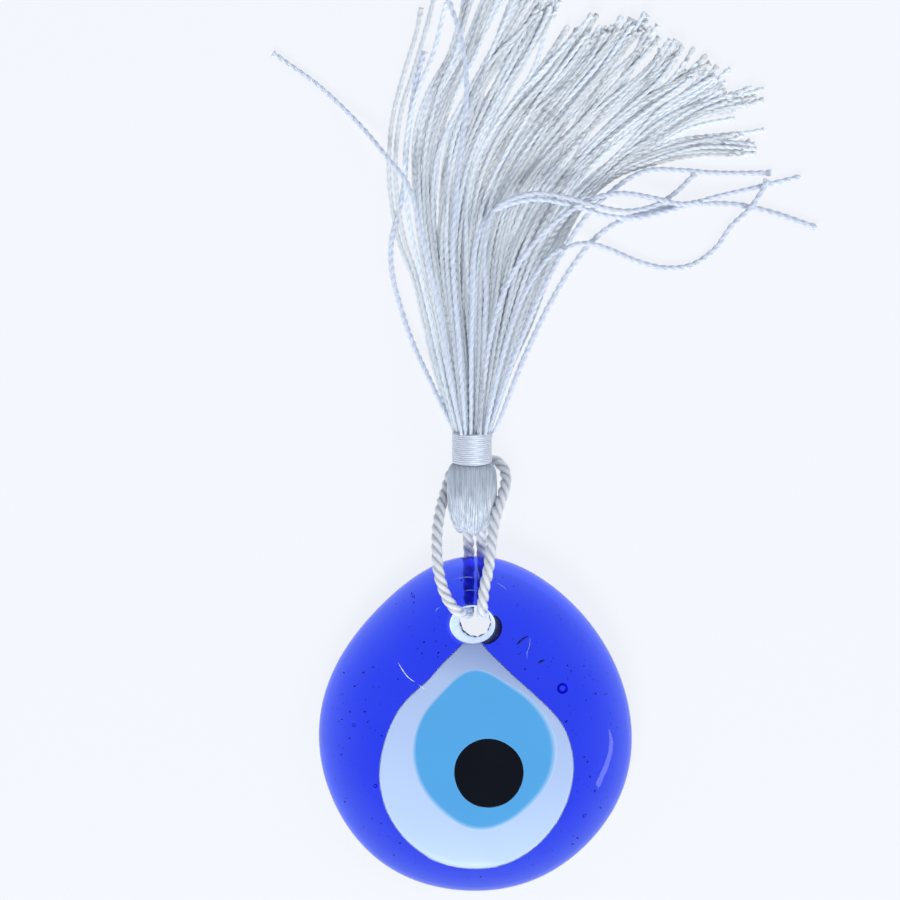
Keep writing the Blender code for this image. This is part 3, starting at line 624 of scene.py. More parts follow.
def lens_shell(outline, rise, depth, waviness, meets_hole=False):
    """A layer pressed into the front. Round it: along its outline. Along it: over the top from its middle to
    its rim, rise above the front and rounded down at the rim by high powers of the share of the way out, and
    back under, as deep as half an ellipse. A layer that meets the hole stops a hair inside the hole's wall.
    Returns the grids, and each point's share of the way out."""
    middle = outline.mean(axis=0)
    turns = np.concatenate([np.linspace(0.02, np.pi / 2, 40), np.linspace(np.pi / 2, np.pi - 0.03, 26)[1:]])
    rows, shares = [], []
    for turn in turns:
        share = np.sin(turn)
        place = middle + share * (outline - middle)
        front = front_height(*place.T, waviness)
        if turn <= np.pi / 2:
            z = front + rise * (1 - share**90) - LAYER_LIP * share**120
        else:
            z = front - LAYER_LIP - depth * np.sqrt(np.clip(1 - share**2, 0, 1))
        if meets_hole:
            centre, radii = hole_shape(z)
            radii = radii - 0.02 * MM
            flat = np.clip(1 - ((place[:, 0] - centre[:, 0]) / radii[:, 0]) ** 2, 0, 1)
            lowest = centre[:, 1] - radii[:, 1] * np.sqrt(flat)
            near = np.abs(place[:, 0] - centre[:, 0]) < radii[:, 0]
            place[:, 1] = np.where(near, np.minimum(place[:, 1], lowest), place[:, 1])
        rows.append(np.column_stack([place, z]))
        shares.append(np.full(len(outline), share if turn <= np.pi / 2 else 1.0))
    return np.array(rows)[None], np.array(shares)[None]


def placed(shell):
    """A shell made in the drop's own plane, leant back and put on its rest in the frame."""
    points, quads, tris = shell
    return leant(points, DROP_TILT) + DROP_PLACE, quads, tris


class ORNAMENT_OT_blue_glass(Operator):
    """Make the transparent blue drop with its hole"""

    bl_idname = "ornament.blue_glass"
    bl_label = "Blue glass"

    def execute(self, context):
        glass = context.scene.ornament_glass
        drop = piece("blue_drop", placed(drop_shell(glass.waviness)), cobalt_glass(glass.cobalt))
        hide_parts("blue_glass")
        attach(drop, "glass_drop")
        return {"FINISHED"}


class ORNAMENT_OT_eye_layers(Operator):
    """Make the white, light blue and black layers of the eye"""

    bl_idname = "ornament.eye_layers"
    bl_label = "Eye layers"

    def execute(self, context):
        glass = context.scene.ornament_glass
        self.white(glass)
        self.light_blue(glass)
        self.pupil(glass)
        return {"FINISHED"}

    def add(self, name, grids, material, node_name, slot_name, marks=None):
        """A layer in place of its CAD node."""
        shell = placed(shell_of(grids))
        values = {key: marks_of(value, grids) for key, value in (marks or {}).items()}
        layer = piece(name, shell, material, values)
        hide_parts(node_name)
        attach(layer, "glass_drop")

    def white(self, glass):
        """The white layer, with painted shade: greyer towards the hole and towards its right."""
        outline = closed_line(np.array(WHITE_OUTLINE) * MM, 260, 22)
        grids, _ = lens_shell(outline, glass.layer_rise, WHITE_DEPTH, glass.waviness, meets_hole=True)
        made, tree, shader, cloud = opal_glass("white_glass", glass.white, tuple(glass.white))
        # Painted shade: the up mark grows towards the hole and to the right, and darkens the white through the
        # grey ramp.
        height = np.clip((grids[..., 1] + 23.4 * MM) / (36 * MM) + 0.12 * grids[..., 0] / (15 * MM), 0, 1)
        painted_shade_greys = (
            (0.0, (1, 1, 1)), (0.5, (0.88, 0.88, 0.95)), (0.82, (0.76, 0.76, 0.84)),
            (1.0, (0.49, 0.49, 0.62)),
        )  # fmt: skip
        painted_shade = ramp(tree, mark(tree, "up"), painted_shade_greys)
        tree.links.new(mixed(tree, 1.0, cloud, painted_shade, "MULTIPLY"), shader.inputs["Base Color"])
        self.add("white_layer", grids, made, "white_glass", "white_glass", {"up": height})

    def light_blue(self, glass):
        """The light blue layer, which melts into the white over its rim, most of all on its right."""
        outline = closed_line(np.array(LIGHT_OUTLINE) * LIGHT_SPREAD * MM, 240, 9)
        grids, shares = lens_shell(outline, 2 * glass.layer_rise, LIGHT_DEPTH, glass.waviness)
        angle = np.arctan2(*(outline - outline.mean(axis=0)).T[::-1])
        right, low_left = (np.clip(np.cos(angle - way), 0, 1) for way in (0.1, -2.2))
        softness = 0.045 + 0.055 * right**1.5 + 0.03 * low_left
        melt = np.clip((1 - shares) / softness, 0, 1)
        made, tree, shader, cloud = opal_glass("light_blue_glass", glass.light_blue, tuple(glass.light_blue))
        edge = mixed(tree, mark(tree, "melt"), glass.white, cloud)
        tree.links.new(edge, shader.inputs["Base Color"])
        self.add("light_blue_layer", grids, made, "light_blue_glass", "light_blue_glass", {"melt": melt})

    def pupil(self, glass):
        """The black pupil, a circle with a slight wobble."""
        angle = np.linspace(0, TAU, 160, endpoint=False)
        wobble = 1 + 0.006 * np.sin(3 * angle + 1) + 0.004 * np.sin(5 * angle)
        outline = PUPIL_MIDDLE + PUPIL_RADIUS * (wobble * np.stack([np.cos(angle), np.sin(angle)])).T
        grids, _ = lens_shell(outline, 3 * glass.layer_rise, PUPIL_DEPTH, glass.waviness)
        made, *_ = opal_glass("black_glass", glass.black, (0.003, 0.004, 0.007), 0.16)
        self.add("pupil_layer", grids, made, "pupil_glass", "black_glass")


class ORNAMENT_OT_glass_flaws(Operator):
    """Make the bubbles, specks and scratches of the glass, the ground wall of its hole, and a painted shadow
    beside that wall
    """

    bl_idname = "ornament.glass_flaws"
    bl_label = "Flaws in the glass"

    def execute(self, context):
        glass = context.scene.ornament_glass
        self.specks(glass)
        self.bubbles(glass)
        self.hairs(glass)
        self.hole_wall()
        self.hole_shadow()
        self.hole_chips()
        return {"FINISHED"}

    def add(self, name, shell, material):
        """A flaw, made in the drop's plane, that moves with the drop."""
        made = piece(name, placed(shell), material)
        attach(made, "glass_drop")

    def balls(self, centres, radii, rows, columns, stretch, turn):
        """Balls by latitude and longitude, each scaled along X, Y and Z and then turned about Z."""
        up = np.linspace(0, np.pi, rows + 2)[1:-1][:, None]
        round_ = np.linspace(0, TAU, columns, endpoint=False)[None]
        unit = np.stack(
            [np.sin(up) * np.cos(round_), np.sin(up) * np.sin(round_), np.cos(up) * np.ones_like(round_)],
            axis=-1,
        )
        sized = unit[None] * (radii[:, None] * np.broadcast_to(stretch, (len(radii), 3)))[:, None, None]
        c, s = np.cos(turn)[:, None, None], np.sin(turn)[:, None, None]
        x, y = sized[..., 0].copy(), sized[..., 1].copy()
        sized[..., 0], sized[..., 1] = x * c - y * s, x * s + y * c
        return shell_of(sized + centres[:, None, None])

    def specks(self, glass):
        """Specks are flat grains a little under the front, at random places off the eye."""
        random = np.random.default_rng(7)
        places = random.uniform(-1, 1, (1500, 2)) * DROP_HALF * 0.97
        white = closed_line(np.array(WHITE_OUTLINE) * MM, 90, 16)
        middle = white.mean(axis=0)
        clear = share_out(*(places - middle).T, white - middle) > 1.04
        clear &= share_out(*places.T, drop_edge(720)) < 0.93
        clear &= np.hypot(*(places - HOLE_MIDDLE).T) > 4.6 * MM
        places = places[clear][: glass.specks]
        heights = front_height(*places.T, glass.waviness) - random.uniform(0.25, 2.2, len(places)) * MM
        radii = random.uniform(0.035, 0.075, len(places)) * MM * random.choice((1, 1, 1, 1, 1.9), len(places))
        stretch = np.ones((len(places), 3)) * (1, 1, 0.6)
        stretch[:, 0] = random.uniform(1, 2.0, len(places))
        turn = random.uniform(0, np.pi, len(places))
        shell = self.balls(np.column_stack([places, heights]), radii, 4, 8, stretch, turn)
        stops = ((0.4, (0.004, 0.004, 0.02)), (0.7, (0.03, 0.02, 0.14)))
        made, *_ = grainy("speck", (0.01, 0.008, 0.05), 0.5, 500, stops)
        self.add("glass_specks", shell, made)

    def bubbles(self, glass):
        """Bubbles are round, or drawn out and turned, inside the glass."""
        places = np.array([(13.75, 5.95), (-19.3, 0.1), (-15.9, -9.6), (17.2, -14.4), (-9.8, 20.4)]) * MM
        radii = np.array((0.92, 0.30, 0.34, 0.30, 0.22)) * MM
        stretch = np.array(((1, 1, 1), (1, 1, 1), (1, 1, 1), (1.3, 1, 1), (1.6, 1, 1)))
        turn = np.radians((0, 0, 0, 40, -60))
        heights = front_height(*places.T, glass.waviness) - np.array((1.6, 1.2, 1.5, 1.4, 1.6)) * MM
        shell = self.balls(np.column_stack([places, heights]), radii, 14, 24, stretch, turn)
        made, tree, shader = finish("bubble", (1, 1, 1), 0.0, IOR=1 / 1.5, Transmission_Weight=1.0)
        relief(tree, shader, mottle(tree, 900), 0.01 * MM, 0.2)
        self.add("glass_bubbles", shell, made)

    def hairs(self, glass):
        """Hairs and scratches are fine tubes along lines in or under the front, thinner at their ends."""
        for name, lines, thick, sunk, colour in (
            ("pale_hairs", PALE_HAIRS, 0.10 * MM, 0.02 * MM, (0.30, 0.42, 0.95)),
            ("white_hairs", WHITE_HAIRS, 0.14 * MM, 0.0, (0.90, 0.92, 1.0)),
            ("dark_hairs", DARK_HAIRS, 0.30 * MM, 0.3 * MM, (0.01, 0.008, 0.10)),
        ):
            paths = np.array([open_line(line, 40) for line in lines]) * MM
            under = front_height(paths[..., 0], paths[..., 1], glass.waviness)[..., None] - sunk
            paths = np.concatenate([paths, under], axis=-1)
            taper = np.sin(np.linspace(0.08, np.pi - 0.08, 40))[None, :, None] ** 0.6
            turn = np.linspace(0, TAU, 8, endpoint=False)[None, None]
            radii = thick / 2 * taper * np.ones((len(lines), 1, 8))
            grids = carry(paths, radii, np.broadcast_to(turn, radii.shape))
            dim = [0.6 * c for c in colour]
            made, *_ = grainy(name, colour, 0.4, 1200, ((0.35, dim), (0.6, colour)))
            self.add(name, shell_of(grids), made)

    def hole_wall(self):
        """The hole's ground wall is a thin sleeve, up its inside and down its outside. Its back edge is
        chipped: the lowest rows move up and down by a sum of sines of the angle."""
        count, steps = 200, 14
        angle = np.linspace(0, TAU, count, endpoint=False)
        waves = ((1.0, 7, 0.5), (0.8, 13, 2.1), (0.7, 23, 0), (0.5, 41, 0))
        chips = 0.10 * MM * sum(size * np.sin(number * angle + start) for size, number, start in waves)
        sides = np.concatenate([np.full(steps, -0.03), np.full(steps, 0.06)]) * MM
        levels = np.linspace(0.7, 5.35, steps)
        share = np.clip(1 - np.arange(steps) / 3, 0, 1)
        rows = []
        for side, z, low in zip(sides, np.r_[levels, levels[::-1]] * MM, np.r_[share, share[::-1]]):
            heights = z + chips * low
            rows.append(np.column_stack([hole_ring(heights, angle, np.full(count, side)), heights]))
        stops = ((0.35, (0.46, 0.60, 0.93)), (0.65, (0.78, 0.84, 0.97)))
        made, tree, shader = grainy(
            "ground_glass_painted_glow", (0.62, 0.74, 0.95), 0.35, 700, stops, 4.0, Specular_IOR_Level=0.6
        )
        # Painted glow: the wall gives off a little light of its own, standing in for light carried to it through
        # the glass.
        shader.inputs["Emission Color"].default_value = (0.62, 0.80, 1.0, 1)
        shader.inputs["Emission Strength"].default_value = 0.30
        relief(tree, shader, mottle(tree, 1400, 4.0), 0.08 * MM, 0.6)
        self.add("hole_wall", shell_of(np.array(rows)[None], "rings"), made)

    def hole_shadow(self):
        """A painted shadow: a dark sliver put in the glass where the wall leans under. Along it: an arc beside the
        wall, short of
        where the cord swings. Round it: six corners, out from the wall by a share of half a sine wave."""
        low = np.linspace(-1.25, 0.52, 70)
        bulge = np.sin((low - low[0]) / (low[-1] - low[0]) * np.pi) ** 0.6
        ring = []
        for height, out in ((5.2, 0.10), (5.3, 0.7), (5.1, 1.15), (3.6, 1.20), (3.0, 0.7), (3.6, 0.12)):
            heights = np.full(len(low), height * MM)
            ring.append(np.column_stack([hole_ring(heights, low, out * MM * bulge + 0.12 * MM), heights]))
        stops = ((0.4, (0.010, 0.008, 0.06)), (0.75, (0.04, 0.03, 0.16)))
        made, *_ = grainy("hole_shadow", (0.02, 0.016, 0.10), 0.6, 900, stops)
        self.add("hole_shadow", shell_of(np.array(ring).transpose(1, 0, 2)[None]), made)

    def hole_chips(self):
        """Chips round the hole's back edge: flat slivers along it, each turned a little from it."""
        places = np.radians((-170, -152, -140, -118, -104, -92, -70, -58, -30, -12, 8, 20))
        lengths = np.array((0.5, 0.35, 0.55, 0.5, 0.3, 0.45, 0.5, 0.25, 0.35, 0.4, 0.25, 0.3)) * MM
        askew = np.radians((10, -20, 15, -8, 25, -15, 8, -22, 12, -10, 20, -12))
        centres = hole_ring(np.full(len(places), 0.5 * MM), places, np.full(len(places), -0.10 * MM))
        centres = np.column_stack([centres, np.full(len(places), 0.55 * MM)])
        shell = self.balls(centres, lengths, 5, 10, (1, 0.24, 0.5), places + np.pi / 2 + askew)
        stops = ((0.4, (0.05, 0.06, 0.07)), (0.7, (0.25, 0.27, 0.28)))
        made, *_ = grainy("chip", (0.10, 0.11, 0.12), 0.4, 1500, stops)
        self.add("hole_chips", shell, made)


# ---------------------------------------------------------------- cord and tassel


class ORNAMENT_OT_cord(Operator):
    """Make the twisted cord: through the hole, over the bar and round behind the tassel's neck"""

    bl_idname = "ornament.cord"
    bl_label = "Cord"

    def execute(self, context):
        """Round it: an angle. Along it: the route. The radius is that of plies which turn with the length,
        and a fine ripple of strands crosses them."""
        cord = context.scene.ornament_cord
        path = open_line(np.array(CORD_ROUTE) * MM + HOLE_PLACE, 620)
        path[:, 2] = np.maximum(path[:, 2], cord.diameter / 2)
        along = spans(path[None])[..., None]
        columns = 54
        turn = np.linspace(0, TAU, columns, endpoint=False)[None, None]
        twist = -TAU * along / cord.pitch
        crown = cord.diameter / 2
        lobe = 0.58 * crown
        radii = ply_radius(turn - twist, cord.plies, crown, lobe)
        low = ply_radius(np.pi / cord.plies, cord.plies, crown, lobe)
        level = (radii - low) / (crown - low)
        radii = radii + 0.018 * MM * np.cos(18 * turn - 3.0 * twist)
        grids = carry(path[None], radii, np.broadcast_to(turn, radii.shape))
        made = silk("cord_silk", cord.colour, (0.78, 0.77, 0.74), (0.46, 0.47, 0.49), 0.36)
        # Painted shade: the crown mark darkens the cord between its plies.
        marks = {"crown": marks_of(np.clip(level, 0, 1) ** 0.8, grids), "tone_and_sheen": marks_of(0.0, grids)}
        rope = piece("twisted_cord", shell_of(grids), made, marks)
        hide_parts("hanging_cord")
        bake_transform(rope)
        return {"FINISHED"}


NECK_PLACE = HOLE_PLACE + np.array((-0.6, 25.7, 5.3)) * MM
NECK_SLOPE = np.radians(10)
NECK_LENGTH = 5.0 * MM  # of the binding

# Along the neck's axis, half width and half height, from the fold to under the binding
HEAD_SECTIONS = np.array((
    (-9.6, 0.30, 0.30), (-10.3, 0.62, 0.55), (-10.9, 1.2, 1.1), (-11.0, 2.0, 1.8), (-10.5, 2.65, 2.4),
    (-9.5, 3.20, 2.95), (-8.0, 3.65, 3.4), (-6.4, 3.88, 3.6), (-4.0, 3.97, 3.65), (-1.8, 3.87, 3.5),
    (-0.8, 3.62, 3.35), (-0.2, 3.2, 3.1), (0.4, 2.75, 2.7), (4.6, 2.7, 2.7),
))  # fmt: skip


def put_on_neck(shell):
    """A shell made along the tassel's neck, whose axis is Y, put in the frame: sloped up by its slope."""
    points, quads, tris = shell
    return leant(points, NECK_SLOPE) + NECK_PLACE, quads, tris


class ORNAMENT_OT_head(Operator):
    """Make the head of folded threads and the binding round its neck"""

    bl_idname = "ornament.head"
    bl_label = "Head and binding"

    def execute(self, context):
        tassel = context.scene.ornament_tassel
        self.head(tassel)
        self.binding(tassel)
        frame["nodes"]["cord_knot"].material_slots[0].material = bpy.data.materials["cord_silk"]
        return {"FINISHED"}

    def head(self, tassel):
        """Round it: an angle. Along it: a smooth line through the sections' half widths and heights. Threads
        are ridges, |sin| of the angle times their number, that wander sideways towards the fold."""
        rows, columns = 110, 560
        line = open_line(HEAD_SECTIONS, rows)
        t = np.linspace(0, 1, rows)[:, None]
        turn = np.linspace(0, TAU, columns, endpoint=False)[None]
        fold = np.clip((-line[:, :1] - 2.0) / 9.0, 0, 1) ** 1.5
        wander = 0.05 * fold * (np.sin(5 * turn + 9 * t) + 0.7 * np.sin(9 * turn - 14 * t + 1))
        ridge = np.abs(np.sin(tassel.folds / 2 * (turn + wander)))
        depth = 0.10 * MM * np.clip((t - 0.06) * 12, 0.2, 1)
        coarse = 0.09 * MM * fold * (np.sin(11 * turn + 0.7) + np.sin(17 * turn + 2.0 + 4 * t))
        waves = np.sin(3 * turn + 0.4) + 0.6 * np.sin(7 * turn + 1.3) + 0.35 * np.sin(23 * turn)
        uneven = 0.30 * fold * waves
        out = depth * (ridge - 0.7) + coarse
        x = (line[:, 1:2] * MM + out) * np.cos(turn)
        z = (line[:, 2:3] * MM + out) * np.sin(turn)
        y = (line[:, :1] + uneven * np.clip(t * 14, 0, 1)) * MM * np.ones_like(turn)
        grids = np.stack([x, y, z], axis=-1)[None]
        random = np.random.default_rng(3)
        shade = np.repeat(random.uniform(0, 1, tassel.folds), int(np.ceil(columns / tassel.folds)))[:columns]
        made = silk("head_silk", (0.92, 0.98, 1.0), (0.80, 0.88, 0.98), (0.38, 0.42, 0.47), 0.30, 0.36)
        # Painted shade: the head is darker under the binding and lighter towards the fold, and darker between its
        # folded threads.
        painted_top_shade = 0.25 + 0.75 * np.clip((-line[:, :1] - 3.0) / 4.0, 0, 1)
        marks = {"crown": marks_of((ridge**0.7 * painted_top_shade)[None], grids), "tone_and_sheen": marks_of(shade, grids)}
        head = piece("folded_head", put_on_neck(shell_of(grids)), made, marks)
        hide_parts("tassel_head")
        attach(head, "tassel")

    def binding(self, tassel):
        """Round it: an angle. Along it: over the winds and back along the inside. One thread winds on, so its
        ridges, |sin| of the wind's phase, climb by one pitch a turn. A painted highlight, a bright strip, runs
        along its top."""
        columns, outer = 160, 15 * tassel.winds
        turn = np.linspace(0, TAU, columns, endpoint=False)[None]
        t = np.linspace(0, 1, outer)[:, None]
        sag = 0.25 * np.sin(turn + 0.8) + 0.15 * np.sin(2 * turn + 2)
        phase = np.pi * (tassel.winds * t + sag * np.sin(np.pi * t) + turn / TAU)
        ridge = np.abs(np.sin(phase))
        ends = np.clip(np.minimum(t, 1 - t) * 26, 0, 1) ** 0.5
        radius = 2.82 * MM + ends * 0.32 * MM + 0.10 * MM * (ridge - 0.6) * ends
        inner = 8
        t = np.concatenate([t, np.linspace(1, 0, inner)[:, None]])
        radius = np.concatenate([radius, np.full((inner, columns), 2.74 * MM)])
        y = NECK_LENGTH * t * np.ones_like(turn)
        grids = np.stack([radius * np.cos(turn), y, radius * np.sin(turn)], axis=-1)[None]
        crown = np.concatenate([ridge**0.6, np.zeros((inner, columns))])[None]
        # Painted highlight: away from a strip along the top, the colour goes to the greyer second colour; the
        # crown mark paints shade between the winds.
        made = silk("binding_silk", (0.88, 0.95, 1.0), (0.64, 0.68, 0.74), (0.44, 0.47, 0.53), 0.28)
        bright = 1.35 - 0.15 * np.sin(40 * np.linspace(0, 1, len(t))[:, None])
        off_painted_highlight = 1 - np.exp(-(((turn - bright) / 0.3) ** 2))
        marks = {"crown": marks_of(crown, grids, "rings"), "tone_and_sheen": marks_of(off_painted_highlight[None], grids, "rings")}
        band = piece("wound_binding", put_on_neck(shell_of(grids, "rings")), made, marks)
        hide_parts("neck_binding")
        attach(band, "tassel")


def thread_shell(paths, tassel, random, thicker=1.0):
    """Two-ply threads along paths. Each turns by its own pitch, is a little thinner or thicker than the rest,
    pinched in the neck, and swells at its blunt cut end, where its plies draw apart. Its colour carries painted
    shade between its plies and a painted sheen near the neck."""
    count = len(paths)
    columns = 10
    along = spans(paths)[..., None]
    total = along[:, -1:]
    pitch = tassel.pitch * random.uniform(0.9, 1.12, (count, 1, 1))
    twist = TAU * along / pitch + random.uniform(0, TAU, (count, 1, 1))
    turn = np.linspace(0, TAU, columns, endpoint=False)[None, None]
    crown = tassel.thread / 2
    lobe = 0.68 * crown
    radii = ply_radius(turn - twist, 2, crown, lobe)
    low = ply_radius(np.pi / 2, 2, crown, lobe)
    level = np.clip((radii - low) / (crown - low), 0, 1)
    fray = np.clip(1 - (total - along) / (2.2 * MM), 0, 1)
    pinched = 1 - 0.34 * np.clip(1 - along / (15 * MM), 0, 1) ** 1.5
    size = thicker * random.uniform(0.9, 1.06, (count, 1, 1)) * (1 + 0.12 * fray) * pinched
    radii = radii * size * (1 + 0.25 * fray * np.cos(2 * (turn - twist)))
    grids = carry(paths, radii, np.broadcast_to(turn, radii.shape))
    # Painted sheen: near the neck the crown mark is lifted and the tone taken away, so the threads paint lighter
    # there.
    painted_neck_sheen = np.exp(-along / (22 * MM))
    tone_and_sheen = random.beta(0.7, 0.9, (count, 1, 1)) * (1 - painted_neck_sheen)
    marks = {
        "crown": marks_of(np.clip(level**0.7 + 0.5 * fray + 0.9 * painted_neck_sheen, 0, 1), grids),
        "tone_and_sheen": marks_of(tone_and_sheen, grids),
    }
    return shell_of(grids), marks


class ORNAMENT_OT_skirt(Operator):
    """Make the fan of cut threads and the threads that have strayed from it"""

    bl_idname = "ornament.skirt"
    bl_label = "Skirt"

    def execute(self, context):
        tassel = context.scene.ornament_tassel
        random = np.random.default_rng(21)
        made = silk("thread_silk", tassel.colour, tassel.warm, (0.66, 0.71, 0.78), 0.34)
        paths = self.fan(tassel, random)
        groups = np.array_split(paths, 6)
        for number, group in enumerate(groups, 1):
            shell, marks = thread_shell(group, tassel, random)
            threads = piece(f"threads_{number}", shell, made, marks)
            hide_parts(f"skirt_bunch_{number}")
            self.join(threads)
        strays = np.array([open_line(line, 240) for line in STRAYS]) * MM + HOLE_PLACE
        strays[..., 2] = np.maximum(strays[..., 2], 0.8 * tassel.thread)
        shell, marks = thread_shell(strays, tassel, random, 1.12)
        made = silk("stray_silk", (0.76, 0.81, 0.90), (0.68, 0.71, 0.76), (0.50, 0.54, 0.64), 0.34)
        threads = piece("stray_threads", shell, made, marks)
        names = [name for name in frame["nodes"] if name.startswith("stray_")]
        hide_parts(*names)
        self.join(threads)
        return {"FINISHED"}

    def join(self, threads):
        """Bakes the threads' placement into their points."""
        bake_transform(threads)

    def fan(self, tassel, random):
        """Threads spread evenly over a disc in the neck. Sideways, a thread keeps its order as the disc opens
        into the fan's guide lines, clumping and wandering a little more towards its end. In height, it keeps
        its share of the fan's thickness, while the fan's underside sinks to the table."""
        count, rows = tassel.threads, 206
        number = np.arange(count) + 0.5
        radius = np.sqrt(number / count)
        angle = number * np.pi * (3 - np.sqrt(5))
        a, b = radius * np.cos(angle), radius * np.sin(angle)
        order = np.argsort(a)
        a, b = a[order, None], b[order, None]
        reach = np.clip(random.normal(1.0, 0.025, (count, 1)), 0.93, 1.03)
        s = np.linspace(0, 1, rows)[None] * reach
        u = 0.145 + 0.855 * (0.5 + (a * np.sqrt(1 - a**2) + np.arcsin(a)) / np.pi)
        u[:3] = ((0.003,), (0.045,), (0.105,))
        open_ = np.clip(s * 1.6, 0, 1)
        u = u + open_ * 0.010 * np.sin(TAU * (7.3 * u + 0.2)) + open_ * 0.006 * np.sin(TAU * (17 * u + 0.6))
        for wave in range(3):
            tilt = random.normal(0, 0.022 / (wave + 1), (count, 1))
            tilt[:3] *= 0.15
            u = u + tilt * open_ * np.sin((1.3 + 1.7 * wave) * np.pi * s + random.uniform(0, TAU, (count, 1)))
        u = np.clip(u, 0, 1)
        lines = np.array([open_line(line, 120) for line in FAN]) * MM
        ahead = lines[:, -1:] + (lines[:, -1:] - lines[:, -8:-7]) * np.linspace(0.1, 1.1, 6)[None, :, None]
        lines = np.concatenate([lines, ahead], axis=1)
        row = s * 119
        place = u * (len(FAN) - 1)
        left = np.minimum(place.astype(int), len(FAN) - 2)
        step = np.minimum(row.astype(int), lines.shape[1] - 2)
        across, on = (place - left)[..., None], (row - step)[..., None]
        near = lines[left, step] * (1 - across) + lines[left + 1, step] * across
        far = lines[left, step + 1] * (1 - across) + lines[left + 1, step + 1] * across
        flat = near * (1 - on) + far * on
        neck_axis = NECK_PLACE - HOLE_PLACE
        root = np.stack([neck_axis[0] + a * 2.3 * MM, np.full_like(a, 28.6 * MM)], axis=-1)
        flat = np.concatenate([root, flat], axis=1)
        s = np.concatenate([np.full((count, 1), -0.01), s], axis=1)
        share = np.clip(s, 0, 1)
        thick = (5.0 - 3.0 * np.clip(share / 0.55, 0, 1) ** 0.8) * MM
        side = np.sqrt(np.clip(1 - (2 * np.concatenate([u[:, :1], u], 1) - 1) ** 2, 0, 1))
        opened = np.clip(share * 1.4, 0, 1)
        thick = thick * (side * (1 - opened) + opened * (0.55 + 0.45 * side))
        sunk = np.clip(1 - share / 0.27, 0, 1) ** 1.8
        centre_height = neck_axis[2] + 0.9 * MM + 0.2 * MM * share
        low = (centre_height - thick / 2) * sunk
        level = 0.5 + 0.5 * b / np.sqrt(np.clip(1 - a**2, 0.05, 1))
        thread = tassel.thread
        lift = 0.12 * MM * np.sin(TAU * (2.2 * share + random.uniform(0, 1, (count, 1))))
        z = low + thread / 2 + (thick - thread) * np.clip(level, 0, 1) + lift * share
        z = np.maximum(z, 0.75 * thread)
        paths = np.concatenate([flat, z[..., None]], axis=-1)
        return paths + HOLE_PLACE


# ---------------------------------------------------------------- stage


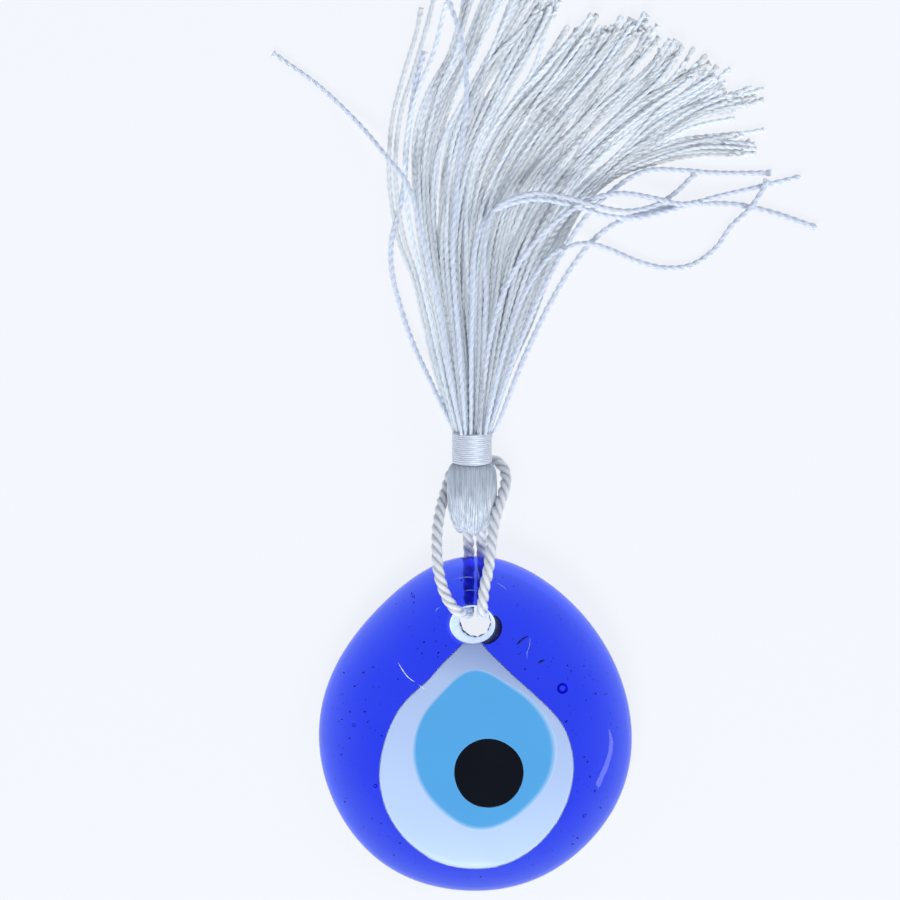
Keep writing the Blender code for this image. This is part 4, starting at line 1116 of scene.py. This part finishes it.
class ORNAMENT_OT_stage(Operator):
    """Make the table, the lights and the camera"""

    bl_idname = "ornament.stage"
    bl_label = "Stage"

    def execute(self, context):
        stage = context.scene.ornament_stage
        self.camera(context, stage)
        self.table(stage)
        self.lights(context, stage)
        context.scene.view_settings.view_transform = "Standard"
        return {"FINISHED"}

    def camera(self, context, stage):
        """A camera straight above the table. Its focal length is its sensor's width times the ratio of its
        distance to the view's width."""
        lens = bpy.data.cameras.new("camera")
        lens.sensor_width = 36
        lens.lens = 36 * (stage.distance - VIEW_HEIGHT) / stage.view
        lens.clip_start = 0.01
        camera = bpy.data.objects.new("camera", lens)
        camera.location = HOLE_PLACE + VIEW_MIDDLE + np.array((0, 0, stage.distance))
        context.scene.collection.objects.link(camera)
        context.scene.camera = camera

    def table(self, stage):
        """A flat square of table: a grid at one height, just under the ornament."""
        reach = np.linspace(-1.5, 1.5, 41)
        x, y = np.meshgrid(reach, reach, indexing="ij")
        points = np.stack([x, y, np.full_like(x, -0.02 * MM)], axis=-1).reshape(-1, 3)
        column, row = np.meshgrid(np.arange(40), np.arange(40), indexing="ij")
        first = (column * 41 + row).ravel()
        quads = np.stack([first, first + 41, first + 42, first + 1], axis=1)
        mesh = bpy.data.meshes.new("table")
        mesh.from_pydata(points.tolist(), [], quads.tolist())
        made, tree, shader = finish("table", [0.10 * c for c in stage.table], 0.6, Specular_IOR_Level=0.1)
        glow = [stage.glow * c for c in stage.table]
        shader.inputs["Emission Color"].default_value = (*glow, 1)
        shader.inputs["Emission Strength"].default_value = 1.0
        mesh.materials.append(made)
        table = bpy.data.objects.new("table", mesh)
        bpy.context.scene.collection.objects.link(table)

    def lights(self, context, stage):
        """A room that is paler towards its horizon, two soft lamps that the glass doesn't mirror, and two
        strips that it does."""
        world = bpy.data.worlds.new("room")
        world.use_nodes = True
        tree = world.node_tree
        background = tree.nodes["Background"]
        place, split = node(tree, "ShaderNodeTexCoord"), node(tree, "ShaderNodeSeparateXYZ")
        tree.links.new(place.outputs["Generated"], split.inputs[0])
        heights = (
            (0.0, (0.52, 0.58, 0.70)), (0.45, (0.46, 0.52, 0.66)), (0.80, (0.22, 0.25, 0.32)),
            (0.97, (0.08, 0.09, 0.12)),
        )  # fmt: skip
        sky = ramp(tree, split.outputs["Z"], heights)
        tree.links.new(sky, background.inputs["Color"])
        background.inputs["Strength"].default_value = stage.room
        context.scene.world = world
        self.panel("front_panel", (-0.25, -0.75, 0.80), (0.7, 0.5), stage.front, False)
        self.panel("side_panel", (0.85, 0.15, 0.75), (0.6, 0.6), 0.4 * stage.front, False)
        self.panel("strip", (0.345, -0.235, 0.58), (0.17, 0.07), 0.11, True)
        self.panel("low_strip", (-0.03, -0.455, 0.52), (0.17, 0.04), 0.10, True)

    def panel(self, name, place, size, power, mirrored):
        """A soft light facing the middle of the table, seen in the glass or not."""
        lamp = bpy.data.lights.new(name, "AREA")
        lamp.shape = "RECTANGLE"
        lamp.size, lamp.size_y = size
        lamp.energy = power
        lamp.color = (0.96, 0.98, 1.0)
        made = bpy.data.objects.new(name, lamp)
        made.visible_glossy = mirrored
        made.location = place
        away = -np.array(place)
        flat = np.hypot(away[0], away[1])
        made.rotation_euler = (np.arctan2(flat, -away[2]), 0, np.arctan2(away[1], away[0]) - np.pi / 2)
        bpy.context.scene.collection.objects.link(made)


# ---------------------------------------------------------------- sidebar


class ORNAMENT_PT_panel(Panel):
    """Sizes and colours of the ornament, and a button for each of its pieces"""

    bl_label = "Evil Eye Ornament"
    bl_space_type = "VIEW_3D"
    bl_region_type = "UI"
    bl_category = "Ornament"

    def draw(self, context):
        layout = self.layout
        for group in GROUPS:
            box = layout.box()
            held = getattr(context.scene, group)
            for name in held.bl_rna.properties.keys():
                if name not in ("name", "rna_type"):
                    box.prop(held, name)
        for operator in OPERATORS:
            layout.operator(operator.bl_idname)


GROUPS = {
    "ornament_glass": GlassSettings,
    "ornament_cord": CordSettings,
    "ornament_tassel": TasselSettings,
    "ornament_stage": StageSettings,
}
OPERATORS = (
    ORNAMENT_OT_stage,
    ORNAMENT_OT_cord,
    ORNAMENT_OT_blue_glass,
    ORNAMENT_OT_eye_layers,
    ORNAMENT_OT_glass_flaws,
    ORNAMENT_OT_head,
    ORNAMENT_OT_skirt,
)


def register():
    for group in GROUPS.values():
        bpy.utils.register_class(group)
    for operator in OPERATORS:
        bpy.utils.register_class(operator)
    bpy.utils.register_class(ORNAMENT_PT_panel)
    for name, group in GROUPS.items():
        setattr(bpy.types.Scene, name, PointerProperty(type=group))


def unregister():
    for name in GROUPS:
        delattr(bpy.types.Scene, name)
    bpy.utils.unregister_class(ORNAMENT_PT_panel)
    for operator in reversed(OPERATORS):
        bpy.utils.unregister_class(operator)
    for group in reversed(GROUPS.values()):
        bpy.utils.unregister_class(group)


def main():
    register()
    bpy.ops.ornament.stage()
    bpy.ops.ornament.cord()
    bpy.ops.ornament.blue_glass()
    bpy.ops.ornament.eye_layers()
    bpy.ops.ornament.glass_flaws()
    bpy.ops.ornament.head()
    bpy.ops.ornament.skirt()


if __name__ == "__main__":
    main()
